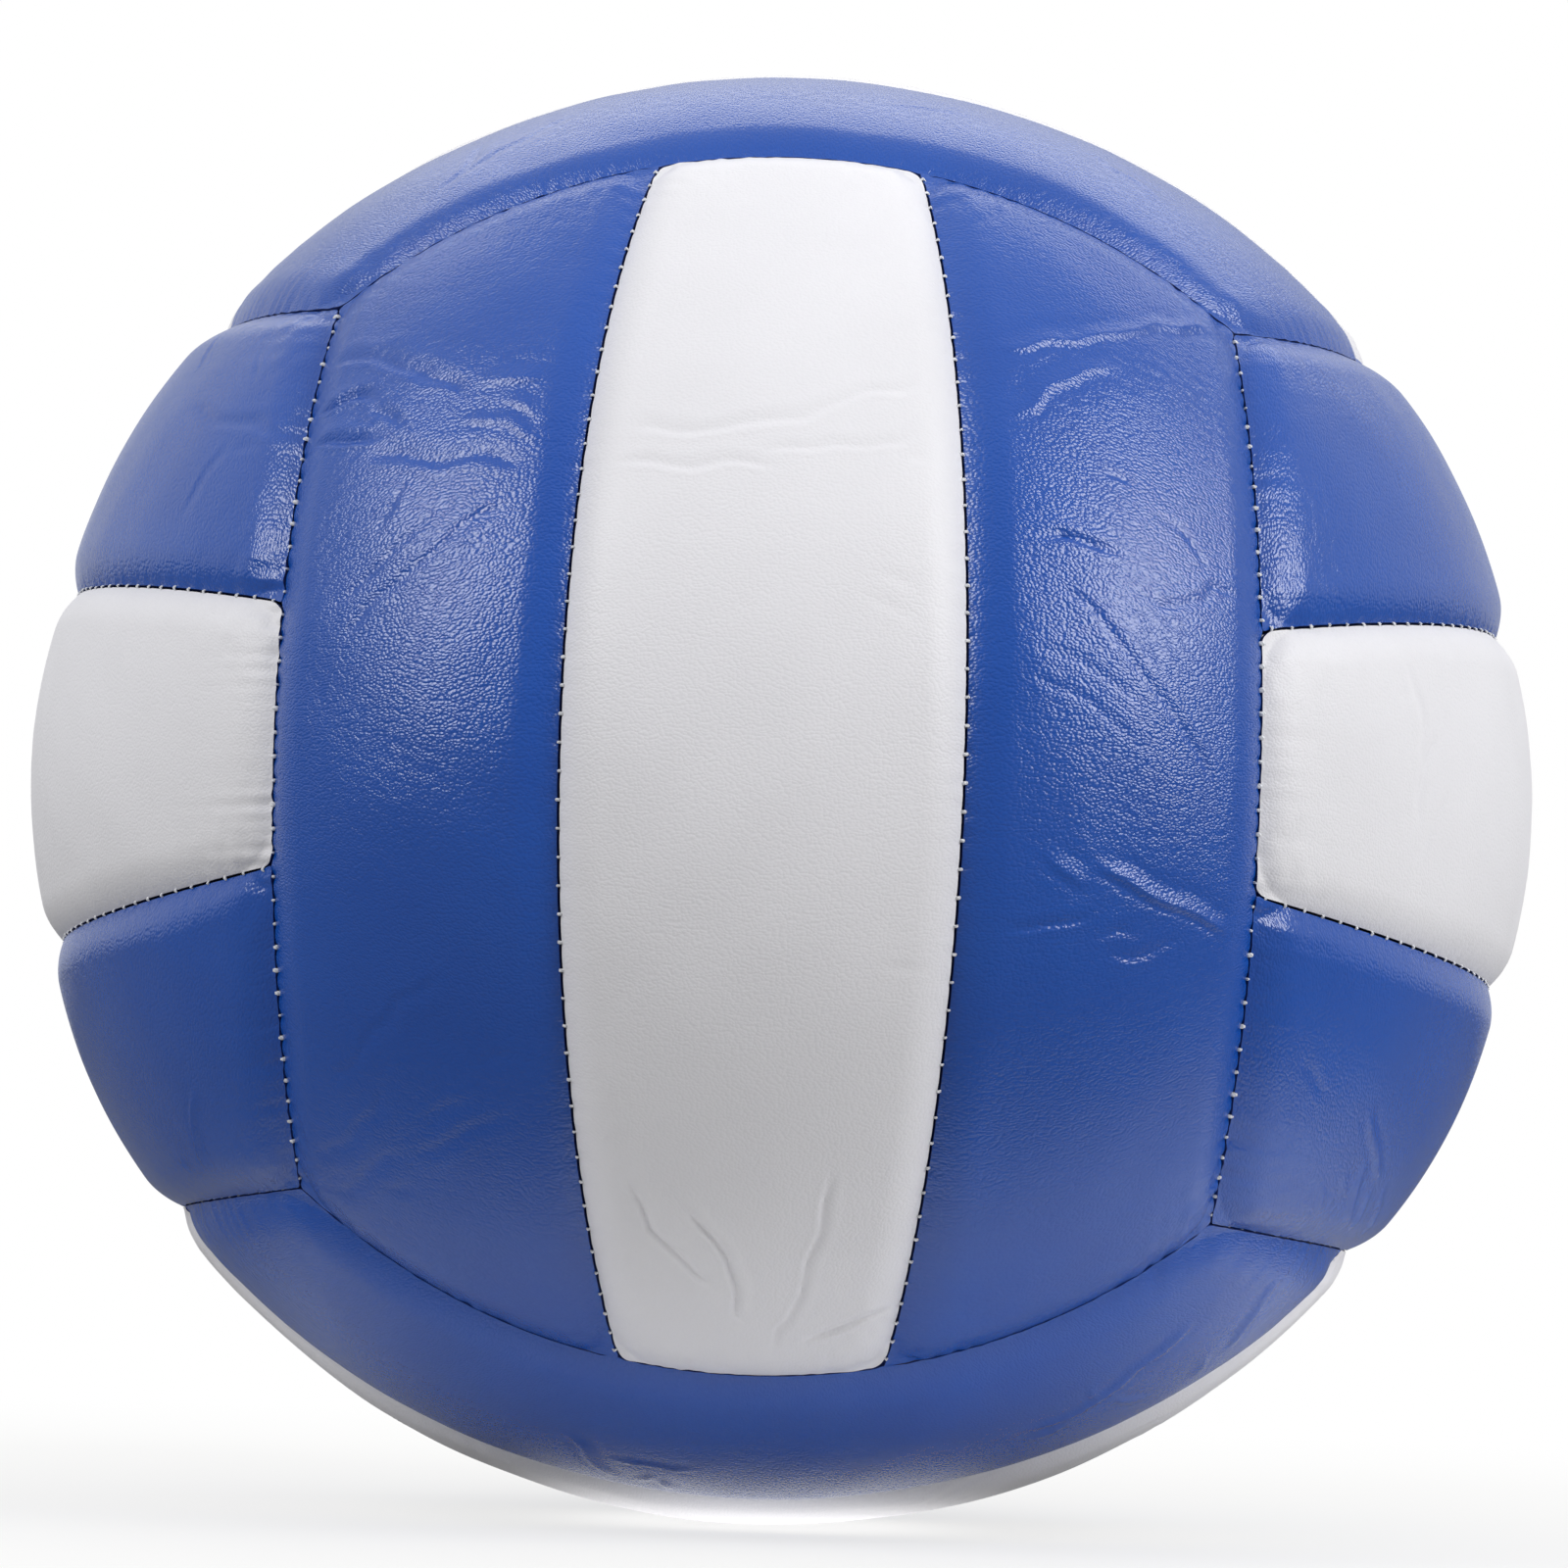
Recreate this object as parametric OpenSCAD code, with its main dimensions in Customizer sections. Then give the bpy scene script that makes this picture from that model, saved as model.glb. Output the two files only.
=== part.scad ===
// Indoor volleyball of eighteen padded strips, three to a face, machine stitched over a bladder.
// Millimetres, +Z up, origin at the centre of the ball. The front face looks along -Y.
// Each face has its own axes: across its strips, outward, and along its strips.
// Directions are worked out on a round ball of radius 1, and point_at() turns them into places.

/* [Ball] */
// Width of the ball over the crowns of its faces
ball_d = 210; // [150:1:260]
// Height of the ball as a share of its width, as it stands a little flat
height_share = 0.967; // [0.93:0.001:1]

/* [Panel pattern] */
// Angle from the middle of a face to its long edge, seen from the centre of the ball
face_half_angle = 37.4; // [35:0.1:40]
// Angle from the middle of a face to the seams of its middle strip
strip_half_angle = 14.1; // [12:0.1:17]
// Angle by which the plane of a seam inside a face leans outward
seam_lean = 11.4; // [8:0.1:13]
// Gap between the turned edges of two neighbouring strips
seam_gap = 0.3; // [0.2:0.05:0.5]

/* [Padding] */
// Thickness of the synthetic leather skin
skin_t = 0.8; // [0.6:0.05:1.2]
// Thickness of the foam under the flat of a strip
foam_t = 2.6; // [2:0.1:4]
// Thickness of the cloth lining
lining_t = 0.35; // [0.2:0.05:0.6]
// Thickness of the glue line between two layers
glue_t = 0.1; // [0.05:0.05:0.2]
// Rise of the middle of a strip over its edges
crown_rise = 0.8; // [0:0.1:2]
// Width over which a strip rounds down into its seams
shoulder_w = 6; // [4:0.5:8]
// Depth that a strip is drawn down at its seams
seam_depth = 1.8; // [1:0.1:2.4]

/* [Stitching] */
// Distance from one stitch to the next
stitch_pitch = 3.7; // [3:0.1:6]
// Diameter of the thread
thread_d = 0.5; // [0.3:0.05:0.7]
// Length of thread that shows across a seam
stitch_len = 1.5; // [1:0.1:2]
// Gap between a stitch and the skin that it lies on
stitch_clear = 0.1; // [0.05:0.05:0.3]

/* [Bladder] */
// Thickness of the rubber bladder
bladder_t = 0.45; // [0.4:0.05:1]
// Gap between the bladder and the lining where they are closest
bladder_gap = 0.3; // [0.2:0.1:1]

/* [Valve] */
// Diameter of the valve neck that shows in the skin
valve_neck_d = 6.4; // [5:0.1:8]
// Diameter of the valve stem under the skin
valve_stem_d = 10; // [9:0.5:14]
// Diameter of the flange inside the bladder
valve_flange_d = 26; // [18:1:34]
// Thickness of the flange
valve_flange_t = 1.2; // [0.8:0.1:2]
// Length of the valve body inward from its flange
valve_tail_l = 6; // [4:0.5:10]
// Diameter of the soft plug in the valve body
plug_d = 4.2; // [3.6:0.1:4.6]
// Diameter of the port that takes the inflating needle
needle_d = 2; // [1.5:0.1:2.6]
// Depth of the valve mouth below the skin
mouth_depth = 0.4; // [0.2:0.1:1]
// Gap round the valve where it passes through the layers
valve_clear = 0.15; // [0.1:0.05:0.3]
// Gap round the plug in the valve body
plug_clear = 0.05; // [0.02:0.01:0.1]

/* [Hidden] */
blue = "#3e5a9e";
white = "#e4e4e6";
foam_colour = "#2b2d35";
cloth_colour = "#c9c8c2";
thread_colour = "#dcdde1";
rubber_colour = "#2a2a2c";
plug_colour = "#4a4a4c";

ball_r = ball_d / 2;
// Radius at the shoulders, and the radii of the layers below them
pad_r = ball_r - crown_rise;
foam_in_r = pad_r - skin_t - glue_t - foam_t;
lining_out_r = foam_in_r - glue_t;
lining_in_r = lining_out_r - lining_t;

// Plane of the seam where two faces meet: it runs through the corner where three faces meet
corner_share = 1 / sqrt(3);
edge_lean = atan2(sin(face_half_angle) - corner_share, cos(face_half_angle) - corner_share);
edge_off = sin(face_half_angle - edge_lean);
strip_off = sin(strip_half_angle - seam_lean);

// Distances from the middle of a seam at which the layers end
skin_edge = seam_gap / 2;
hem_edge = skin_edge + skin_t;
pad_edge = hem_edge + glue_t;

// Counts of facets between the shoulders of a strip
cols = 3;
rows = 6;
// Place of the extra line of facets within a shoulder
shoulder_step_share = 1 / 3;
// Facets round the bladder, and from its top to its bottom
bladder_sides = 24;
bladder_steps = 16;
round_fn = 48;
thread_fn = 24;
// Length by which a cutter runs past what it cuts
overrun = 2;

// Faces as [along the strips, outward, across the strips]
FRONT = [[0, 0, 1], [0, -1, 0], [-1, 0, 0]];
BACK = [[0, 0, 1], [0, 1, 0], [1, 0, 0]];
RIGHT = [[0, 1, 0], [1, 0, 0], [0, 0, 1]];
LEFT = [[0, 1, 0], [-1, 0, 0], [0, 0, -1]];
TOP = [[1, 0, 0], [0, 0, 1], [0, 1, 0]];
BOTTOM = [[1, 0, 0], [0, 0, -1], [0, -1, 0]];
FACES = [FRONT, BACK, RIGHT, LEFT, TOP, BOTTOM];

// A strip is -1, 0 or 1: the low side, the middle or the high side of its face
LOW = -1;
MIDDLE = 0;
HIGH = 1;

// The seam beside a strip is [side, lean, offset] of its plane, and side is -1 or 1
function seam_below(strip, inset) =
    strip == LOW ? [-1, edge_lean, edge_off - inset]
    : strip == MIDDLE ? [-1, seam_lean, strip_off - inset]
    : [1, seam_lean, strip_off + inset];
function seam_above(strip, inset) =
    strip == HIGH ? [1, edge_lean, edge_off - inset]
    : strip == MIDDLE ? [1, seam_lean, strip_off - inset]
    : [-1, seam_lean, strip_off + inset];

// Direction on a seam, at an angle from the middle of its length
function on_seam(seam, angle) =
    let (lean = seam[1], off = seam[2], k = sqrt(1 - off * off))
    [
        seam[0] * (off * cos(lean) + k * sin(lean) * cos(angle)),
        k * cos(lean) * cos(angle) - off * sin(lean),
        k * sin(angle)
    ];

// Angle at which a seam meets the end of its strip
function seam_end(seam, inset) =
    let (lean = seam[1], off = seam[2], k = sqrt(1 - off * off))
    let (a = k * cos(edge_lean) * cos(lean), b = k * sin(edge_lean))
    acos((edge_off + inset + off * sin(lean) * cos(edge_lean)) / norm([a, b])) - atan2(b, a);

// Direction on the end of a strip, at an angle across it
function on_end(inset, angle) =
    let (off = edge_off + inset, k = sqrt(1 - off * off))
    [
        k * sin(angle),
        off * cos(edge_lean) + k * sin(edge_lean) * cos(angle),
        k * cos(edge_lean) * cos(angle) - off * sin(edge_lean)
    ];

function end_angle(across, inset) = asin(across / sqrt(1 - pow(edge_off + inset, 2)));
function mix(a, b, t) = a * (1 - t) + b * t;
function flip_along(p) = [p[0], p[1], -p[2]];
function unit(p) = p / norm(p);

// Direction inside a strip, with u from 0 to 1 across it and v from 0 to 1 along it
function strip_dir(strip, inset, u, v) =
    let (low = seam_below(strip, inset), high = seam_above(strip, inset))
    let (low_end = seam_end(low, inset), high_end = seam_end(high, inset))
    let (low_corner = on_seam(low, low_end), high_corner = on_seam(high, high_end))
    let (from = end_angle(low_corner[0], inset), to = end_angle(high_corner[0], inset))
    let (end = on_end(inset, mix(from, to, u)))
    let (along = mix(on_seam(low, (2 * v - 1) * low_end), on_seam(high, (2 * v - 1) * high_end), u))
    let (across = mix(flip_along(end), end, v))
    let (corners = mix(low_corner, high_corner, u))
    unit(along + across - mix(flip_along(corners), corners, v));

// Distance from a direction to the plane of a seam, and to the nearer end of the face
function to_seam(p, seam) =
    ball_r * abs(seam[0] * p[0] * cos(seam[1]) - p[1] * sin(seam[1]) - seam[2]);
function to_end(p) =
    ball_r * abs(p[1] * cos(edge_lean) - abs(p[2]) * sin(edge_lean) - edge_off);

// How far a strip is drawn down at a direction, round like the shoulder of a cushion
function near_seam(distance) = 1 - min(1, max(0, distance - skin_edge) / shoulder_w);
function drawn_in(strip, p) =
    let (low = near_seam(to_seam(p, seam_below(strip, 0))))
    let (high = near_seam(to_seam(p, seam_above(strip, 0))))
    let (near = min(1, norm([low, high, near_seam(to_end(p))])))
    seam_depth * (1 - sqrt(1 - near * near));
function crown(u, v) = crown_rise * (1 - pow(2 * u - 1, 2)) * (1 - pow(2 * v - 1, 4));

// Radius of the outside of a strip
function skin_r(strip, p, u, v) = pad_r + crown(u, v) - drawn_in(strip, p);

// Place on the ball of a direction in a face, at a radius
function point_at(face, p, r) =
    let (q = r * (p[0] * face[2] + p[1] * face[1] + p[2] * face[0]))
    [q[0], q[1], q[2] * height_share];

// Shares of the width and the length of a strip at which its facets end
function strip_width(strip) =
    ball_r * norm(on_seam(seam_above(strip, 0), 0) - on_seam(seam_below(strip, 0), 0));
function seam_length(seam) = ball_r * seam_end(seam, 0) * PI / 90;
function strip_length(strip) =
    (seam_length(seam_below(strip, 0)) + seam_length(seam_above(strip, 0))) / 2;
function fine_lines(edge, count) = concat(
    [0, edge * shoulder_step_share],
    [for (i = [0:count]) mix(edge, 1 - edge, i / count)],
    [1 - edge * shoulder_step_share, 1]
);
function coarse_lines(edge, count) =
    concat([0], [for (i = [1:count - 1]) mix(edge, 1 - edge, i / count)], [1]);
function fine_u(strip) = fine_lines(shoulder_w / strip_width(strip), cols);
function fine_v(strip) = fine_lines(shoulder_w / strip_length(strip), rows);
function coarse_u(strip) = coarse_lines(shoulder_w / strip_width(strip), cols);
function coarse_v(strip) = coarse_lines(shoulder_w / strip_length(strip), rows);

// Points of a sheet, a row of them for each line along the strip
function skin_sheet(face, strip, inset, sink, us, vs) = [
    for (v = vs) for (u = us)
        let (p = strip_dir(strip, inset, u, v))
        point_at(face, p, skin_r(strip, p, u, v) - sink)
];
function even_sheet(face, strip, inset, r, us, vs) = [
    for (v = vs) for (u = us) point_at(face, strip_dir(strip, inset, u, v), r)
];

// Numbers of the points round the rim of a sheet, in order
function rim(nu, nv) = concat(
    [for (i = [0:nu - 2]) i],
    [for (j = [0:nv - 2]) j * nu + nu - 1],
    [for (i = [nu - 1:-1:1]) (nv - 1) * nu + i],
    [for (j = [nv - 1:-1:1]) j * nu]
);
function sheet_faces(nu, nv, from, up) = [
    for (j = [0:nv - 2]) for (i = [0:nu - 2])
        let (a = from + j * nu + i, b = a + 1, c = b + nu, d = a + nu)
        each up ? [[a, b, c], [a, c, d]] : [[a, c, b], [a, d, c]]
];
function wall_faces(upper, lower) = [
    for (i = [0:len(upper) - 1])
        let (j = (i + 1) % len(upper))
        each [[upper[j], upper[i], lower[i]], [upper[j], lower[i], lower[j]]]
];

// Closed solid between two sheets of the same lines, joined round the rim by rings of points
module quilted(outer, inner, rings, nu, nv) {
    count = nu * nv;
    edge = rim(nu, nv);
    size = len(edge);
    ring_starts = [for (i = [0:len(rings)]) count + i * size];
    inner_start = ring_starts[len(rings)];
    ladder = concat(
        [edge],
        [for (k = [0:len(rings) - 1]) if (len(rings) > 0) [for (i = [0:size - 1]) ring_starts[k] + i]],
        [[for (i = edge) inner_start + i]]
    );
    polyhedron(
        points = concat(outer, [for (ring = rings) each ring], inner),
        faces = concat(
            sheet_faces(nu, nv, 0, true),
            [for (k = [0:len(ladder) - 2]) each wall_faces(ladder[k], ladder[k + 1])],
            sheet_faces(nu, nv, inner_start, false)
        ),
        convexity = 4
    );
}

// Skin of one strip, with its edges turned in down to the lining
module cover(face, strip) {
    us = fine_u(strip);
    vs = fine_v(strip);
    edge = rim(len(us), len(vs));
    hem_out = even_sheet(face, strip, skin_edge / ball_r, lining_in_r, us, vs);
    hem_in = even_sheet(face, strip, hem_edge / ball_r, lining_in_r, us, vs);
    quilted(
        skin_sheet(face, strip, skin_edge / ball_r, 0, us, vs),
        skin_sheet(face, strip, hem_edge / ball_r, skin_t, us, vs),
        [[for (i = edge) hem_out[i]], [for (i = edge) hem_in[i]]],
        len(us), len(vs)
    );
}

// Foam of one strip, from the skin down to the lining
module foam(face, strip) {
    us = coarse_u(strip);
    vs = coarse_v(strip);
    quilted(
        skin_sheet(face, strip, pad_edge / ball_r, skin_t + glue_t, us, vs),
        even_sheet(face, strip, pad_edge / ball_r, foam_in_r, us, vs),
        [], len(us), len(vs)
    );
}

// Cloth under the foam of one strip
module lining(face, strip) {
    us = coarse_u(strip);
    vs = coarse_v(strip);
    quilted(
        even_sheet(face, strip, pad_edge / ball_r, lining_out_r, us, vs),
        even_sheet(face, strip, pad_edge / ball_r, lining_in_r, us, vs),
        [], len(us), len(vs)
    );
}

module linings(face) {
    for (strip = [LOW, MIDDLE, HIGH]) lining(face, strip);
}

// Height of a stitch over the bottom of its seam, where it rests on both shoulders
step_drop = seam_depth * (1 - sqrt(1 - pow(1 - shoulder_step_share, 2)));
shoulder_slope = (seam_depth - step_drop) / (shoulder_w * shoulder_step_share);
stitch_lift = (stitch_len / 2 - skin_edge) * shoulder_slope + stitch_clear + thread_d / 2;

// Place on the straight facets of a seam, at a share of its length
function facet_point(points, shares, v) =
    [for (axis = [0:2]) lookup(v, [for (i = [0:len(shares) - 1]) [shares[i], points[i][axis]]])];

// Row of stitches across one seam, beside the strip whose facets it follows
module stitch_row(face, seam, shares) {
    end = seam_end(seam, 0);
    r = pad_r - seam_depth + stitch_lift;
    points = [for (v = shares) point_at(face, on_seam(seam, (2 * v - 1) * end), r)];
    count = floor(ball_r * end * PI / 90 / stitch_pitch);
    across = [seam[0] * cos(seam[1]), -sin(seam[1]), 0];
    turned = point_at(face, across, 1);
    for (i = [0:count - 1]) {
        place = facet_point(points, shares, (i + 1 / 2) / count);
        translate(place)
            rotate([0, acos(turned[2] / norm(turned)), atan2(turned[1], turned[0])])
                cylinder(d = thread_d, h = stitch_len, center = true, $fn = thread_fn);
    }
}

// Both seams inside a face
module face_stitches(face) {
    for (strip = [LOW, HIGH])
        stitch_row(face, strip == LOW ? seam_above(LOW, 0) : seam_below(HIGH, 0), fine_v(MIDDLE));
}

// Seams round the outside of a face that its own long edges make
module edge_stitches(face) {
    stitch_row(face, seam_below(LOW, 0), fine_v(LOW));
    stitch_row(face, seam_above(HIGH, 0), fine_v(HIGH));
}

// Deepest dip of a flat facet below its corners, in the lining and in the bladder
lining_dip = (pow(strip_length(MIDDLE) / rows, 2) + pow(strip_width(MIDDLE) / cols, 2)) / (8 * ball_r);
bladder_out_r = lining_in_r - lining_dip - bladder_gap;
bladder_in_r = bladder_out_r - bladder_t;
bladder_dip = bladder_in_r * (1 - cos(180 / bladder_sides)) * 2;

function bladder_points(r) = concat(
    [[0, 0, -r * height_share]],
    [
        for (j = [1:bladder_steps - 1]) for (i = [0:bladder_sides - 1])
            let (up = 180 * j / bladder_steps - 90, turn = 360 * i / bladder_sides)
            [r * cos(up) * cos(turn), r * cos(up) * sin(turn), r * sin(up) * height_share]
    ],
    [[0, 0, r * height_share]]
);

// Faces of a closed round skin: fans at its ends and bands between them
function band_point(j, i) = 1 + (j - 1) * bladder_sides + i % bladder_sides;
bladder_top = 1 + (bladder_steps - 1) * bladder_sides;
bladder_faces = concat(
    [for (i = [0:bladder_sides - 1]) [0, band_point(1, i), band_point(1, i + 1)]],
    [
        for (j = [1:bladder_steps - 2]) for (i = [0:bladder_sides - 1])
            let (a = band_point(j, i), b = band_point(j, i + 1))
            let (c = band_point(j + 1, i + 1), d = band_point(j + 1, i))
            each [[a, c, b], [a, d, c]]
    ],
    [
        for (i = [0:bladder_sides - 1])
            [bladder_top, band_point(bladder_steps - 1, i + 1), band_point(bladder_steps - 1, i)]
    ]
);

module bladder_skin() {
    difference() {
        polyhedron(points = bladder_points(bladder_out_r), faces = bladder_faces, convexity = 4);
        polyhedron(points = bladder_points(bladder_in_r), faces = bladder_faces, convexity = 4);
        valve_hole(valve_stem_d / 2 + valve_clear, 0);
    }
}

// The valve lies on the +Y axis, in the middle strip of the back face
module along_valve() {
    rotate([-90, 0, 0]) children();
}

// Cutter for the valve, from a distance along its axis out past the ball
module valve_hole(r, from) {
    along_valve() translate([0, 0, from]) cylinder(r = r, h = ball_r + overrun - from, $fn = round_fn);
}

mouth_y = ball_r - mouth_depth;
shoulder_y = ball_r - crown_rise - skin_t - glue_t - valve_clear;
flange_y = sqrt(pow(bladder_in_r - bladder_dip, 2) - pow(valve_flange_d / 2, 2)) - valve_clear;
tail_y = flange_y - valve_flange_t - valve_tail_l;

// Rubber body: a tail, a flange inside the bladder, a stem through the padding and a neck in the skin
module valve_shape() {
    along_valve() rotate_extrude($fn = round_fn) polygon([
        [plug_d / 2 + plug_clear, tail_y],
        [valve_neck_d / 2, tail_y],
        [valve_stem_d / 2, flange_y - valve_flange_t],
        [valve_flange_d / 2, flange_y - valve_flange_t],
        [valve_flange_d / 2, flange_y],
        [valve_stem_d / 2, flange_y],
        [valve_stem_d / 2, shoulder_y],
        [valve_neck_d / 2, shoulder_y],
        [valve_neck_d / 2, mouth_y],
        [plug_d / 2 + plug_clear, mouth_y]
    ]);
}

// Soft plug with the needle port through it
module plug_shape() {
    along_valve() rotate_extrude($fn = round_fn) polygon([
        [needle_d / 2, tail_y],
        [plug_d / 2, tail_y],
        [plug_d / 2, mouth_y],
        [needle_d / 2, mouth_y]
    ]);
}

module pierced_cover() {
    difference() {
        cover(BACK, MIDDLE);
        valve_hole(valve_neck_d / 2 + valve_clear, foam_in_r);
    }
}

module pierced_foam() {
    difference() {
        foam(BACK, MIDDLE);
        valve_hole(valve_stem_d / 2 + valve_clear, lining_in_r - overrun);
    }
}

module pierced_linings() {
    difference() {
        linings(BACK);
        valve_hole(valve_stem_d / 2 + valve_clear, lining_in_r - overrun);
    }
}

module front_left_cover() { color(blue) cover(FRONT, HIGH); }
module front_middle_cover() { color(white) cover(FRONT, MIDDLE); }
module front_right_cover() { color(blue) cover(FRONT, LOW); }
module back_left_cover() { color(blue) cover(BACK, LOW); }
module back_middle_cover() { color(white) pierced_cover(); }
module back_right_cover() { color(blue) cover(BACK, HIGH); }
module right_upper_cover() { color(blue) cover(RIGHT, HIGH); }
module right_middle_cover() { color(white) cover(RIGHT, MIDDLE); }
module right_lower_cover() { color(blue) cover(RIGHT, LOW); }
module left_upper_cover() { color(blue) cover(LEFT, LOW); }
module left_middle_cover() { color(white) cover(LEFT, MIDDLE); }
module left_lower_cover() { color(blue) cover(LEFT, HIGH); }
module top_front_cover() { color(blue) cover(TOP, LOW); }
module top_middle_cover() { color(white) cover(TOP, MIDDLE); }
module top_back_cover() { color(blue) cover(TOP, HIGH); }
module bottom_front_cover() { color(blue) cover(BOTTOM, HIGH); }
module bottom_middle_cover() { color(white) cover(BOTTOM, MIDDLE); }
module bottom_back_cover() { color(blue) cover(BOTTOM, LOW); }

module front_left_foam() { color(foam_colour) foam(FRONT, HIGH); }
module front_middle_foam() { color(foam_colour) foam(FRONT, MIDDLE); }
module front_right_foam() { color(foam_colour) foam(FRONT, LOW); }
module back_left_foam() { color(foam_colour) foam(BACK, LOW); }
module back_middle_foam() { color(foam_colour) pierced_foam(); }
module back_right_foam() { color(foam_colour) foam(BACK, HIGH); }
module right_upper_foam() { color(foam_colour) foam(RIGHT, HIGH); }
module right_middle_foam() { color(foam_colour) foam(RIGHT, MIDDLE); }
module right_lower_foam() { color(foam_colour) foam(RIGHT, LOW); }
module left_upper_foam() { color(foam_colour) foam(LEFT, LOW); }
module left_middle_foam() { color(foam_colour) foam(LEFT, MIDDLE); }
module left_lower_foam() { color(foam_colour) foam(LEFT, HIGH); }
module top_front_foam() { color(foam_colour) foam(TOP, LOW); }
module top_middle_foam() { color(foam_colour) foam(TOP, MIDDLE); }
module top_back_foam() { color(foam_colour) foam(TOP, HIGH); }
module bottom_front_foam() { color(foam_colour) foam(BOTTOM, HIGH); }
module bottom_middle_foam() { color(foam_colour) foam(BOTTOM, MIDDLE); }
module bottom_back_foam() { color(foam_colour) foam(BOTTOM, LOW); }

module front_linings() { color(cloth_colour) linings(FRONT); }
module back_linings() { color(cloth_colour) pierced_linings(); }
module right_linings() { color(cloth_colour) linings(RIGHT); }
module left_linings() { color(cloth_colour) linings(LEFT); }
module top_linings() { color(cloth_colour) linings(TOP); }
module bottom_linings() { color(cloth_colour) linings(BOTTOM); }

module front_stitches() { color(thread_colour) face_stitches(FRONT); }
module back_stitches() { color(thread_colour) face_stitches(BACK); }
module right_stitches() { color(thread_colour) face_stitches(RIGHT); }
module left_stitches() { color(thread_colour) face_stitches(LEFT); }
module top_stitches() { color(thread_colour) face_stitches(TOP); }
module bottom_stitches() { color(thread_colour) face_stitches(BOTTOM); }
module front_edge_stitches() {
    color(thread_colour) edge_stitches(FRONT);
}
module back_edge_stitches() {
    color(thread_colour) edge_stitches(BACK);
}
module side_edge_stitches() {
    color(thread_colour) for (face = [RIGHT, LEFT, TOP, BOTTOM]) edge_stitches(face);
}

module bladder() { color(rubber_colour) bladder_skin(); }
module valve_body() { color(rubber_colour) valve_shape(); }
module valve_plug() { color(plug_colour) plug_shape(); }

front_left_cover();
front_middle_cover();
front_right_cover();
back_left_cover();
back_middle_cover();
back_right_cover();
right_upper_cover();
right_middle_cover();
right_lower_cover();
left_upper_cover();
left_middle_cover();
left_lower_cover();
top_front_cover();
top_middle_cover();
top_back_cover();
bottom_front_cover();
bottom_middle_cover();
bottom_back_cover();
front_left_foam();
front_middle_foam();
front_right_foam();
back_left_foam();
back_middle_foam();
back_right_foam();
right_upper_foam();
right_middle_foam();
right_lower_foam();
left_upper_foam();
left_middle_foam();
left_lower_foam();
top_front_foam();
top_middle_foam();
top_back_foam();
bottom_front_foam();
bottom_middle_foam();
bottom_back_foam();
front_linings();
back_linings();
right_linings();
left_linings();
top_linings();
bottom_linings();
front_stitches();
back_stitches();
right_stitches();
left_stitches();
top_stitches();
bottom_stitches();
front_edge_stitches();
back_edge_stitches();
side_edge_stitches();
bladder();
valve_body();
valve_plug();
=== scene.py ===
"""Indoor volleyball of eighteen padded strips in blue and white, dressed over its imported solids."""
import math

import bpy
import numpy as np
from mathutils import Matrix, Vector


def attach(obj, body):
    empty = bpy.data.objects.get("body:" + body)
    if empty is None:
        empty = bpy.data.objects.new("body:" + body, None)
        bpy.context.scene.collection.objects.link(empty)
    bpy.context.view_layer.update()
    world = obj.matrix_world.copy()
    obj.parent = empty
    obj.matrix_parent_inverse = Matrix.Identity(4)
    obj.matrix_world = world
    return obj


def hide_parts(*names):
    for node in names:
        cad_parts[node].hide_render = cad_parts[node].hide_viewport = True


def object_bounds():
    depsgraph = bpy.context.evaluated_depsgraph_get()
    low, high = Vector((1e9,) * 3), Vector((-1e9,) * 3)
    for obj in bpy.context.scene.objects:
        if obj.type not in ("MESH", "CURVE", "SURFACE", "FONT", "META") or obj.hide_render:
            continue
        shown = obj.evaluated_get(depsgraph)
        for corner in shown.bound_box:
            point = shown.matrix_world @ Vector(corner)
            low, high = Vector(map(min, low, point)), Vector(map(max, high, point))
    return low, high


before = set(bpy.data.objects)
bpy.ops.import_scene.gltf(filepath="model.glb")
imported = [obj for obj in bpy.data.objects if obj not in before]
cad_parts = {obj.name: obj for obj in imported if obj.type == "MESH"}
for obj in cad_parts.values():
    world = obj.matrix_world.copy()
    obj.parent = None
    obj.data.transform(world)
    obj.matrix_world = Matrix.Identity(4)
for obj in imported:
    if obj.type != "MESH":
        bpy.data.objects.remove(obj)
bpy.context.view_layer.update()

# Sizes of the ball, in millimetres. It is a little flatter than it is wide
BALL_R = 105.0
HEIGHT_SHARE = 0.967
CROWN_RISE = 0.8
PAD_R = BALL_R - CROWN_RISE
# From the middle of a face to its long edges and to the seams inside it, and the lean of those seams
FACE_HALF_ANGLE = math.radians(37.4)
STRIP_HALF_ANGLE = math.radians(14.1)
SEAM_LEAN = math.radians(11.4)
# Widths of the seams inside a face and of those between faces
SEAM_GAP = 0.36
EDGE_GAP = 0.24
# A strip: its skin, its shoulders, its drop at the seams and the corners of a middle strip
SKIN_T = 0.7
SHOULDER_W = 5.6
SHOULDER_POWER = 1.9
SEAM_DEPTH = 1.65
CORNER_R = 2.4
STITCH_PITCH = 3.7
# Hole of the valve in the back middle strip, and the middle of the punch that makes it, in metres
VALVE_HOLE_R = 3.35
VALVE_PUNCH_PLACE = (0, 0.104, 0)
# How much further out some seams of this ball lie, and how far from them the skin still moves with them
SEAM_SHIFT = 1.2
SHIFT_REACH = 44
# It fades out toward the left lower corner and behind, over these shares of the ball's radius
SHIFT_FADE_LEFT = 0.33
SHIFT_FADE_BEHIND = 0.6
SHIFT_END_BEHIND = 0.5
# Where a middle strip's corners touch an outer strip
CORNER_PLACE = 23.5
# The stitches along the edges of these faces lie deep, and those of the top and the bottom out of sight
SUNK = {"top": 0.9, "bottom": 0.9, "right": 0.45, "left": 0.45}

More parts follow.
